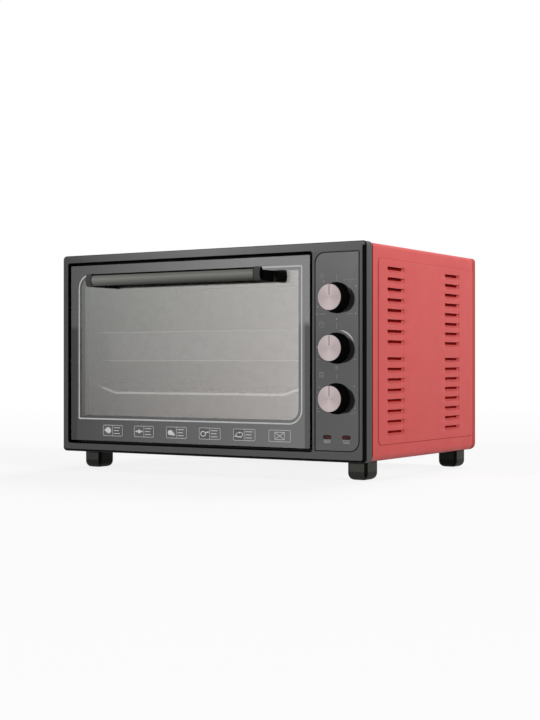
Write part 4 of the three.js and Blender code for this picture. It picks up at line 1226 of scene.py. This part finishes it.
def handle_bracket(middle, side, name):
    """Collar with its peg in the tube, and the arm that reaches back to the glass."""
    inner = -side * HANDLE_COLLAR / 2
    outer = side * HANDLE_COLLAR / 2
    peg = inner - side * HANDLE_PEG_LENGTH
    profile = [(0, peg), (HANDLE_PEG, peg), (HANDLE_PEG, inner), (HANDLE_RADIUS, inner)]
    end = quarter_round(HANDLE_END_ROUND)
    profile += [(HANDLE_RADIUS - inset, outer - side * back) for inset, back in end]
    profile.append((0, outer))
    shape = Shape().lathe("x", (middle, HANDLE_FLAT_Y, HANDLE_Z), profile, HANDLE_SEGMENTS,
                          pick=collar_finish, squash=HANDLE_SQUASH_SHARE)
    arm = rounded(*centred((middle, ARM_Z), HANDLE_COLLAR, ARM_HEIGHT), ARM_ROUND)
    shape.prism(arm, HANDLE_FLAT_Y, GLASS_FRONT - GAP)
    piece = object_from(f"handle_end_{name}", shape, "black_plastic", "collar_plastic")
    finished(piece, "door", "black_plastic", f"handle_bracket_{name}")


def handle():
    """Flattened tube between its two brackets."""
    centre = (HANDLE_LOW_X + HANDLE_HIGH_X) / 2
    half = (HANDLE_HIGH_X - HANDLE_LOW_X) / 2 - HANDLE_COLLAR - GAP
    profile = [(HANDLE_BORE, -half), (TUBE_RADIUS - HANDLE_EDGE, -half), (TUBE_RADIUS, -half + HANDLE_EDGE),
               (TUBE_RADIUS, half - HANDLE_EDGE), (TUBE_RADIUS - HANDLE_EDGE, half), (HANDLE_BORE, half)]
    tube = Shape().lathe("x", (centre, HANDLE_FLAT_Y, HANDLE_Z), profile, HANDLE_SEGMENTS, ring=True,
                         pick=tube_finish, squash=HANDLE_SQUASH_SHARE)
    piece = object_from("handle_tube", tube, "handle_metal", "black_plastic")
    finished(piece, "door", "handle_metal", "handle_bar")
    for side, name in ((-1, "left"), (1, "right")):
        handle_bracket(centre + side * (half + GAP + HANDLE_COLLAR / 2), side, name)


# Shell sheets
def smooth_step(value):
    share = max(0.0, min(1.0, value))
    return share * share * (3 - 2 * share)


def emboss_height(y, z):
    """How far the raised field stands out at a place on the side."""
    reach_y, reach_z = [abs(place - (low + high) / 2) - (high - low) / 2 + EMBOSS_CORNER
                        for place, low, high in zip((y, z), EMBOSS_LOW, EMBOSS_HIGH)]
    outside = math.hypot(max(reach_y, 0), max(reach_z, 0)) + min(max(reach_y, reach_z), 0) - EMBOSS_CORNER
    return EMBOSS_HEIGHT * smooth_step(-outside / EMBOSS_RAMP)


def louvre_tops():
    return [LOUVRE_TOP - group * LOUVRE_GROUP_STEP - row * LOUVRE_PITCH
            for group in range(LOUVRE_GROUPS) for row in range(LOUVRE_ROWS)]


def louvre_centre(y):
    """Middle of the nearest column of louvres."""
    return min(LOUVRE_CENTRES, key=lambda place: abs(y - place))


def louvre_end_share(y):
    """1 along a louvre and 0 past its ends, of which the rear one is the softer."""
    centre = louvre_centre(y)
    slope = LOUVRE_END if y < centre else LOUVRE_TAIL
    return smooth_step((LOUVRE_LENGTH / 2 - abs(y - centre)) / slope)


def louvre_depth(y, z):
    end = louvre_end_share(y)
    for top in louvre_tops():
        edge = top - LOUVRE_OPENING
        toe = edge - LOUVRE_SLOPE
        if toe <= z <= edge:
            return LOUVRE_DEPTH * end * (z - toe) / LOUVRE_SLOPE
        if edge < z <= top - LOUVRE_VENT:
            return LOUVRE_DEPTH * end
    return 0


def under_louvre_top(z, reach):
    return any(top - reach < z < top for top in louvre_tops())


def is_slot(y, z):
    return louvre_end_share(y) >= LOUVRE_OPEN_SHARE and under_louvre_top(z, LOUVRE_VENT)


def is_lip(y, z):
    """The part of a louvre that stands behind its slot, and the thin end of the slot."""
    end = louvre_end_share(y)
    return end > 0 and under_louvre_top(z, LOUVRE_OPENING if end > LOUVRE_DARK_SHARE else LOUVRE_VENT)


def is_pocket_end(y, z):
    """The last of the sloping rear end of a louvre's pocket."""
    at_end = y >= louvre_centre(y) and 0 < louvre_end_share(y) < LOUVRE_HOOK_SHARE
    return at_end and under_louvre_top(z, LOUVRE_OPENING + LOUVRE_SLOPE / 2)


def merged_lines(values):
    """The values in order, without those that come too soon after another."""
    lines = []
    for value in sorted(values):
        if not lines or value - lines[-1] > LEAST_STEP:
            lines.append(value)
    return lines


def corner_lines(low, high):
    """Close lines where the raised field turns its corners."""
    lines = []
    count = int((EMBOSS_CORNER + EMBOSS_RAMP) / EMBOSS_GRID) + 1
    for step in range(-1, count + 1):
        lines.extend([low + step * EMBOSS_GRID, high - step * EMBOSS_GRID])
    return lines


def depth_lines():
    lines = corner_lines(EMBOSS_LOW[0], EMBOSS_HIGH[0])
    lines.extend([SHELL_FRONT, SHELL_FRONT + SEAM_SHADE, BODY_DEPTH - SHELL_REAR_RADIUS])
    for centre in LOUVRE_CENTRES:
        for side, slope in ((-1, LOUVRE_END), (1, LOUVRE_TAIL)):
            end = centre + side * LOUVRE_LENGTH / 2
            lines.extend(end - side * step * slope / LOUVRE_END_LINES for step in range(LOUVRE_END_LINES + 1))
        start = centre - LOUVRE_LENGTH / 2
        lines.extend(start + step * LOUVRE_LENGTH / LOUVRE_SPAN_LINES for step in range(1, LOUVRE_SPAN_LINES))
    place = EMBOSS_LOW[0] + GRID_STEP
    while place < EMBOSS_HIGH[0] - GRID_STEP:
        lines.append(place)
        place += GRID_STEP
    return merged_lines(lines)


def height_lines():
    lines = corner_lines(EMBOSS_LOW[1], EMBOSS_HIGH[1])
    lines.extend([SHELL_BOTTOM_RADIUS, BODY_HEIGHT - SHELL_INSET - SHELL_TOP_RADIUS])
    for top in louvre_tops():
        lines.extend([top, top - LOUVRE_VENT])
        for step in range(LOUVRE_SLOPE_LINES + 1):
            lines.append(top - LOUVRE_OPENING - step * LOUVRE_SLOPE / LOUVRE_SLOPE_LINES)
    return merged_lines(lines)


def side_section(inset, lines):
    """The side sheet's section from its top flange down to its bottom flange: [x, z, flat side or not]."""
    half = BODY_WIDTH / 2 - SHELL_INSET - inset
    top = BODY_HEIGHT - SHELL_INSET - inset
    seam = min(BODY_WIDTH / 2 - SIDE_FLANGE, half)
    upper = max(SHELL_TOP_RADIUS - inset, 0)
    lower = max(SHELL_BOTTOM_RADIUS - inset, 0)
    points = [(seam, top, False)]
    points += [(max(half - away, seam), top - drop, False) for away, drop in quarter_round(upper)[:0:-1]]
    points += [(half, min(max(z, inset + lower), top - upper), True) for z in reversed(lines)]
    points += [(max(half - away, seam), inset + rise, False) for away, rise in quarter_round(lower)[1:]]
    points.append((seam, inset, False))
    return points


def side_finish(y, z):
    """Open in the slots, painted shade in the louvres and at the front seam, and a deeper red painted shade
    on the raised field's creases, the louvres' rear ends and the rear strip.
    """
    if is_slot(y, z):
        return None
    if is_lip(y, z) or y < SHELL_FRONT + SEAM_SHADE:
        return 1
    if y > REAR_STRIP or is_pocket_end(y, z):
        return 2
    return 2 if 0 < emboss_height(y, z) < EMBOSS_HEIGHT else 0


def side_panel(side, name):
    """Side sheet with its raised field, its louvres and the flanges round its edge."""
    lines = height_lines()
    rows = []
    for y in depth_lines():
        row = []
        for x, z, flat in side_section(0, lines):
            lift = emboss_height(y, z) - louvre_depth(y, z) if flat else 0
            row.append((side * (x + lift), y, z))
        rows.append(row)
    for inset, back in [*quarter_round(SHELL_REAR_RADIUS)[1:], (SIDE_FLANGE - SHELL_INSET, 0)]:
        rows.append([(side * x, BODY_DEPTH - back, z) for x, z, _ in side_section(inset, lines)])
    shape = Shape().sheet(rows, side_finish, turned=side < 0)
    finishes = ("red_enamel", "vent_shade", "painted_shade_red")
    piece = thick_sheet(f"side_sheet_{name}", shape, (side, 0, 0), *finishes)
    finished(piece, "housing", "red_enamel", f"side_panel_{name}")


def top_cover():
    reach = BODY_WIDTH / 2 - SIDE_FLANGE - GAP
    top = BODY_HEIGHT - SHELL_INSET
    path = [(SHELL_FRONT, top)]
    path += [(BODY_DEPTH - back, top - drop) for drop, back in quarter_round(SHELL_REAR_RADIUS)]
    path.append((BODY_DEPTH, BODY_HEIGHT - SIDE_FLANGE))
    shape = Shape().sheet([[(x, y, z) for y, z in path] for x in (-reach, reach)])
    piece = thick_sheet("top_sheet", shape, (0, 0, 1), "red_enamel")
    finished(piece, "housing", "red_enamel", "top_cover")


# Feet
def foot_finish(row, corner):
    """Painted shade on the rounded upright edges."""
    low, high = FOOT_DARK_STEPS
    return 1 if low <= corner % (CORNER_STEPS + 1) <= high else 0


def foot(x, place, name):
    """Block that is rounded towards its underside."""
    low, high = centred((x, place), FOOT_WIDTH, FOOT_DEPTH)
    loops = []
    for rise, inset in quarter_round(FOOT_EDGE):
        outline = rounded(*grown(low, high, -inset), max(FOOT_CORNER - inset, FOOT_SHARP))
        loops.append(level(outline, rise - FOOT_HEIGHT))
    loops.append(level(rounded(low, high, FOOT_CORNER), -GAP))
    shape = Shape().loft(loops, pick=foot_finish)
    piece = object_from(f"foot_block_{name}", shape, "foot_plastic", "black_edge_and_painted_shade")
    finished(piece, "housing", "foot_plastic", f"foot_{name}")


# Inside the oven
def heater(node):
    """Rod with a flange and a terminal at each end."""
    low, high, centre = extent(node)
    end = (high[0] - low[0]) / 2
    seat = end - HEATER_TERMINAL_LENGTH
    flange = seat - HEATER_FLANGE_THICKNESS
    half = [(HEATER_RADIUS, flange), (HEATER_FLANGE, flange), (HEATER_FLANGE, seat), (HEATER_TERMINAL, seat),
            (HEATER_TERMINAL, end), (0, end)]
    profile = [(radius, -along) for radius, along in reversed(half)] + half
    shape = Shape().lathe("x", centre, profile, HEATER_SEGMENTS)
    finished(object_from(f"{node}_rod", shape, "heater_sheath"), "housing", "heater_sheath", node)


def bent(corners, radius):
    """A path through the corners, each rounded to the radius."""
    path = [corners[0]]
    for before, corner, after in zip(corners, corners[1:], corners[2:]):
        back = (before - corner).normalized()
        ahead = (after - corner).normalized()
        half = back.angle(ahead) / 2
        centre = corner + (back + ahead).normalized() * radius / math.sin(half)
        start = corner + back * radius / math.tan(half) - centre
        end = corner + ahead * radius / math.tan(half) - centre
        path += [centre + start.slerp(end, step / EDGE_STEPS) * radius for step in range(EDGE_STEPS + 1)]
    path.append(corners[-1])
    return path


def wire(shape, path, radius):
    """Adds a round wire along a path."""
    loops = []
    normal = None
    for index, point in enumerate(path):
        tangent = (path[min(index + 1, len(path) - 1)] - path[max(index - 1, 0)]).normalized()
        normal = tangent.orthogonal() if normal is None else normal - tangent * normal.dot(tangent)
        normal.normalize()
        side = tangent.cross(normal)
        loops.append([tuple(point + (normal * math.cos(angle) + side * math.sin(angle)) * radius)
                      for angle in turns(WIRE_SIDES)])
    shape.loft(loops)


def wire_rack():
    """Frame wire that dips between its ends, cross wires on it, and a bead over its joint."""
    low, high, _ = extent("wire_rack")
    left = low[0] + RACK_WIRE
    right = high[0] - RACK_WIRE
    front = low[1] + RACK_WIRE
    back = high[1] - RACK_BEAD
    rest = high[2] - 2 * RACK_WIRE + RACK_LOOP
    flat = rest - RACK_DROP
    middle = (left + right) / 2
    corners = [Vector(corner) for corner in (
        (middle + RACK_JOINT / 2, back, flat), (right - RACK_RAMP, back, flat), (right, back, rest),
        (right, front, rest), (right - RACK_RAMP, front, flat), (left + RACK_RAMP, front, flat),
        (left, front, rest), (left, back, rest), (left + RACK_RAMP, back, flat),
        (middle - RACK_JOINT / 2, back, flat))]
    shape = Shape()
    reach = int((right - left - 2 * RACK_RAMP) / 2 / RACK_PITCH)
    height = flat + RACK_LOOP + RACK_CROSS - RACK_SINK
    for step in range(-reach, reach + 1):
        x = middle + step * RACK_PITCH
        ends = [Vector((x, y, height)) for y in (front - RACK_WIRE, back + RACK_WIRE)]
        wire(shape, ends, RACK_CROSS)
    # The cross wires take a darker copy of the wire material: painted shade
    shape.all_in(1)
    wire(shape, bent(corners, RACK_BEND), RACK_LOOP)
    angles = [step * math.pi / BEAD_STEPS for step in range(BEAD_STEPS + 1)]
    bead = [(RACK_BEAD * math.sin(angle), -RACK_BEAD * math.cos(angle)) for angle in angles]
    shape.lathe("x", (middle, back, flat), bead, WIRE_SIDES)
    piece = object_from("rack_wires", shape, "chrome_wire", "cross_wire_painted_shade")
    finished(piece, "rack", "chrome_wire", "wire_rack")


def baking_tray():
    """Pan with a flat rim; its section is given as [inset from the rim's edge, height]."""
    low, high, _ = extent("baking_tray")
    bottom = low[2]
    top = high[2]
    wall = TRAY_RIM_WIDTH + TRAY_WALL
    bowl = quarter_round(TRAY_FLOOR_ROUND, TRAY_STEPS)
    outside = [(0, top - TRAY_RIM / 2), (TRAY_RIM_EDGE, top - TRAY_RIM), (TRAY_RIM_WIDTH, top - TRAY_RIM)]
    outside += [(TRAY_RIM_WIDTH + inset, bottom + rise) for inset, rise in bowl]
    inside = [(TRAY_RIM_EDGE, top), (TRAY_RIM_WIDTH, top), (wall, top - TRAY_WALL)]
    inside += [(wall + inset, bottom + TRAY_WALL + rise) for inset, rise in bowl]
    loops = []
    for inset, z in outside[::-1] + inside:
        corner = TRAY_CORNER + TRAY_RIM_WIDTH - inset
        loops.append(level(rounded(*grown(low, high, -inset), corner, TRAY_STEPS), z))
    # Painted highlight on the rim's outer edge and on a band of the pan's rounded lower edge
    bright = (*TRAY_BRIGHT_ROWS, len(outside) - 2, len(outside) - 1)
    shape = Shape().loft(loops, pick=lambda row, corner: 1 if row in bright else 0)
    piece = object_from("tray_pan", shape, "tray_enamel", "bright_edge")
    finished(piece, "tray", "tray_enamel", "baking_tray")


# Cord gland and back screws
def cord_gland():
    low, high, middle = extent("cord_gland")
    seat = BODY_DEPTH + GAP
    lip = seat + GLAND_FLANGE_THICKNESS
    profile = [(GLAND_BORE, low[1]), (GLAND_NECK, low[1]), (GLAND_NECK, seat), (GLAND_FLANGE, seat),
               (GLAND_FLANGE, lip - GLAND_EDGE), (GLAND_FLANGE - GLAND_EDGE, lip), (GLAND_NOSE, lip),
               (GLAND_NOSE_END, high[1] - GLAND_EDGE), (GLAND_NOSE_END - GLAND_EDGE, high[1]),
               (GLAND_BORE, high[1])]
    shape = Shape().lathe("y", (middle[0], 0, middle[2]), profile, ring=True)
    finished(object_from("gland_body", shape, "black_plastic"), "housing", "black_plastic", "cord_gland")


def back_screw(node):
    """Domed head with a cross recess."""
    low, high, (x, _, z) = extent(node)
    seat = BODY_DEPTH + GAP
    profile = [(0, low[1]), (SCREW_RADIUS, low[1]), (SCREW_RADIUS, seat), (SCREW_HEAD, seat)]
    for step in range(1, EDGE_STEPS + 1):
        turn = step / EDGE_STEPS * QUARTER
        radius = SCREW_HEAD * math.cos(turn * SCREW_CROWN_SHARE)
        profile.append((radius, seat + (high[1] - seat) * math.sin(turn)))
    profile.append((0, high[1]))
    piece = object_from(f"{node}_head", Shape().lathe("y", (x, 0, z), profile), "plated_steel")
    sizes = ((SCREW_SLOT_WIDTH, SCREW_SLOT_REACH), (SCREW_SLOT_REACH, SCREW_SLOT_WIDTH))
    slots = [rounded(*centred((x, z), width, height), SCREW_SLOT_CORNER) for width, height in sizes]
    carved(piece, [Shape().prism(slot, high[1] - SCREW_SLOT_DEPTH, high[1] + OVERRUN) for slot in slots])
    finished(piece, "housing", "plated_steel", node)


# Stage, lights and camera
def seen_or_mirrored(tree):
    """1 where the camera, a reflection or glass looks, and 0 for light that falls on the oven."""
    path = tree.nodes.new("ShaderNodeLightPath")
    source = path.outputs["Is Camera Ray"]
    for label in ("Is Glossy Ray", "Is Transmission Ray"):
        either = tree.nodes.new("ShaderNodeMath")
        either.operation = "MAXIMUM"
        tree.links.new(source, either.inputs[0])
        tree.links.new(path.outputs[label], either.inputs[1])
        source = either.outputs[0]
    return source


def floor_paper():
    """White paper that keeps a soft shadow near the oven."""
    finish = Finish("floor_paper", Roughness=0.9, Specular_IOR_Level=0)
    seen = seen_or_mirrored(finish.tree)
    finish.coloured(finish.blend(seen, linear(FLOOR_BOUNCE), linear(FLOOR_SEEN)))
    distance = finish.node("ShaderNodeVectorMath", {0: finish.space}, operation="LENGTH").outputs["Value"]
    glowing = finish.spread(distance, *FLOOR_GLOW_SHARES, *FLOOR_GLOW_SPAN)
    glow = finish.node("ShaderNodeEmission").outputs[0]
    inputs = {0: finish.math("MULTIPLY", seen, glowing), 1: finish.shader.outputs[0], 2: glow}
    mixed = finish.node("ShaderNodeMixShader", inputs).outputs[0]
    finish.tree.links.new(mixed, finish.tree.nodes["Material Output"].inputs["Surface"])
    return finish.material


def stage():
    corners = [(-FLOOR_HALF, -FLOOR_HALF), (FLOOR_HALF, -FLOOR_HALF), (FLOOR_HALF, FLOOR_HALF),
               (-FLOOR_HALF, FLOOR_HALF)]
    mesh = bpy.data.meshes.new("floor")
    mesh.from_pydata(level(corners, 0), [], [(0, 1, 2, 3)])
    floor = bpy.data.objects.new("floor", mesh)
    bpy.context.scene.collection.objects.link(floor)
    mesh.materials.append(floor_paper())


def lamp(name, aim, softness, strength):
    """A distant lamp: its aim is the bearing from straight ahead and the height, its softness the width."""
    bearing, height = (math.radians(angle) for angle in aim)
    data = bpy.data.lights.new(name, "SUN")
    data.angle = math.radians(softness)
    data.energy = strength
    light = bpy.data.objects.new(name, data)
    toward = Vector((math.sin(bearing) * math.cos(height), -math.cos(bearing) * math.cos(height),
                     math.sin(height)))
    light.rotation_euler = toward.to_track_quat("Z", "Y").to_euler()
    light.visible_glossy = False
    bpy.context.scene.collection.objects.link(light)


def world():
    """White where it is seen or mirrored, softer as a light."""
    sky = bpy.data.worlds.new("studio")
    sky.use_nodes = True
    bpy.context.scene.world = sky
    tree = sky.node_tree
    tree.nodes.clear()
    output = tree.nodes.new("ShaderNodeOutputWorld")
    mix = tree.nodes.new("ShaderNodeMixShader")
    for socket, strength in ((1, AMBIENT), (2, 1)):
        background = tree.nodes.new("ShaderNodeBackground")
        background.inputs["Color"].default_value = (1, 1, 1, 1)
        background.inputs["Strength"].default_value = strength
        tree.links.new(background.outputs[0], mix.inputs[socket])
    tree.links.new(seen_or_mirrored(tree), mix.inputs[0])
    tree.links.new(mix.outputs[0], output.inputs[0])


def camera():
    data = bpy.data.cameras.new("camera")
    data.sensor_width = CAMERA_SENSOR
    data.lens = CAMERA_LENS
    data.shift_y = CAMERA_SHIFT
    view = bpy.data.objects.new("camera", data)
    view.location = CAMERA_PLACE
    view.rotation_euler = (QUARTER, 0, CAMERA_TURN)
    bpy.context.scene.collection.objects.link(view)
    bpy.context.scene.camera = view


def make_oven():
    front_frame()
    control_panel()
    panel_marks()
    panel_pictures()
    for name, height in zip(KNOB_NAMES, KNOB_HEIGHTS):
        knob_body(name, height)
        knob_cap(name, height)
    for centre, node in zip(lamp_centres(), ("indicator_lens_left", "indicator_lens_right")):
        lamp_lens(centre, node)
    door_pane()
    door_printing()
    door_icons()
    handle()
    side_panel(-1, "left")
    side_panel(1, "right")
    top_cover()
    for row, place in FOOT_PLACES.items():
        foot(-FOOT_X, place, f"{row}_left")
        foot(FOOT_X, place, f"{row}_right")
    for height in ("upper", "lower"):
        for place in ("front", "rear"):
            heater(f"heater_{height}_{place}")
    wire_rack()
    baking_tray()
    cord_gland()
    for height in ("lower", "upper"):
        for side in ("left", "right"):
            back_screw(f"back_screw_{height}_{side}")


dress_frame_nodes()
make_oven()
stage()
world()
camera()
for settings in LAMPS:
    lamp(*settings)
bpy.context.scene.view_settings.view_transform = "Standard"
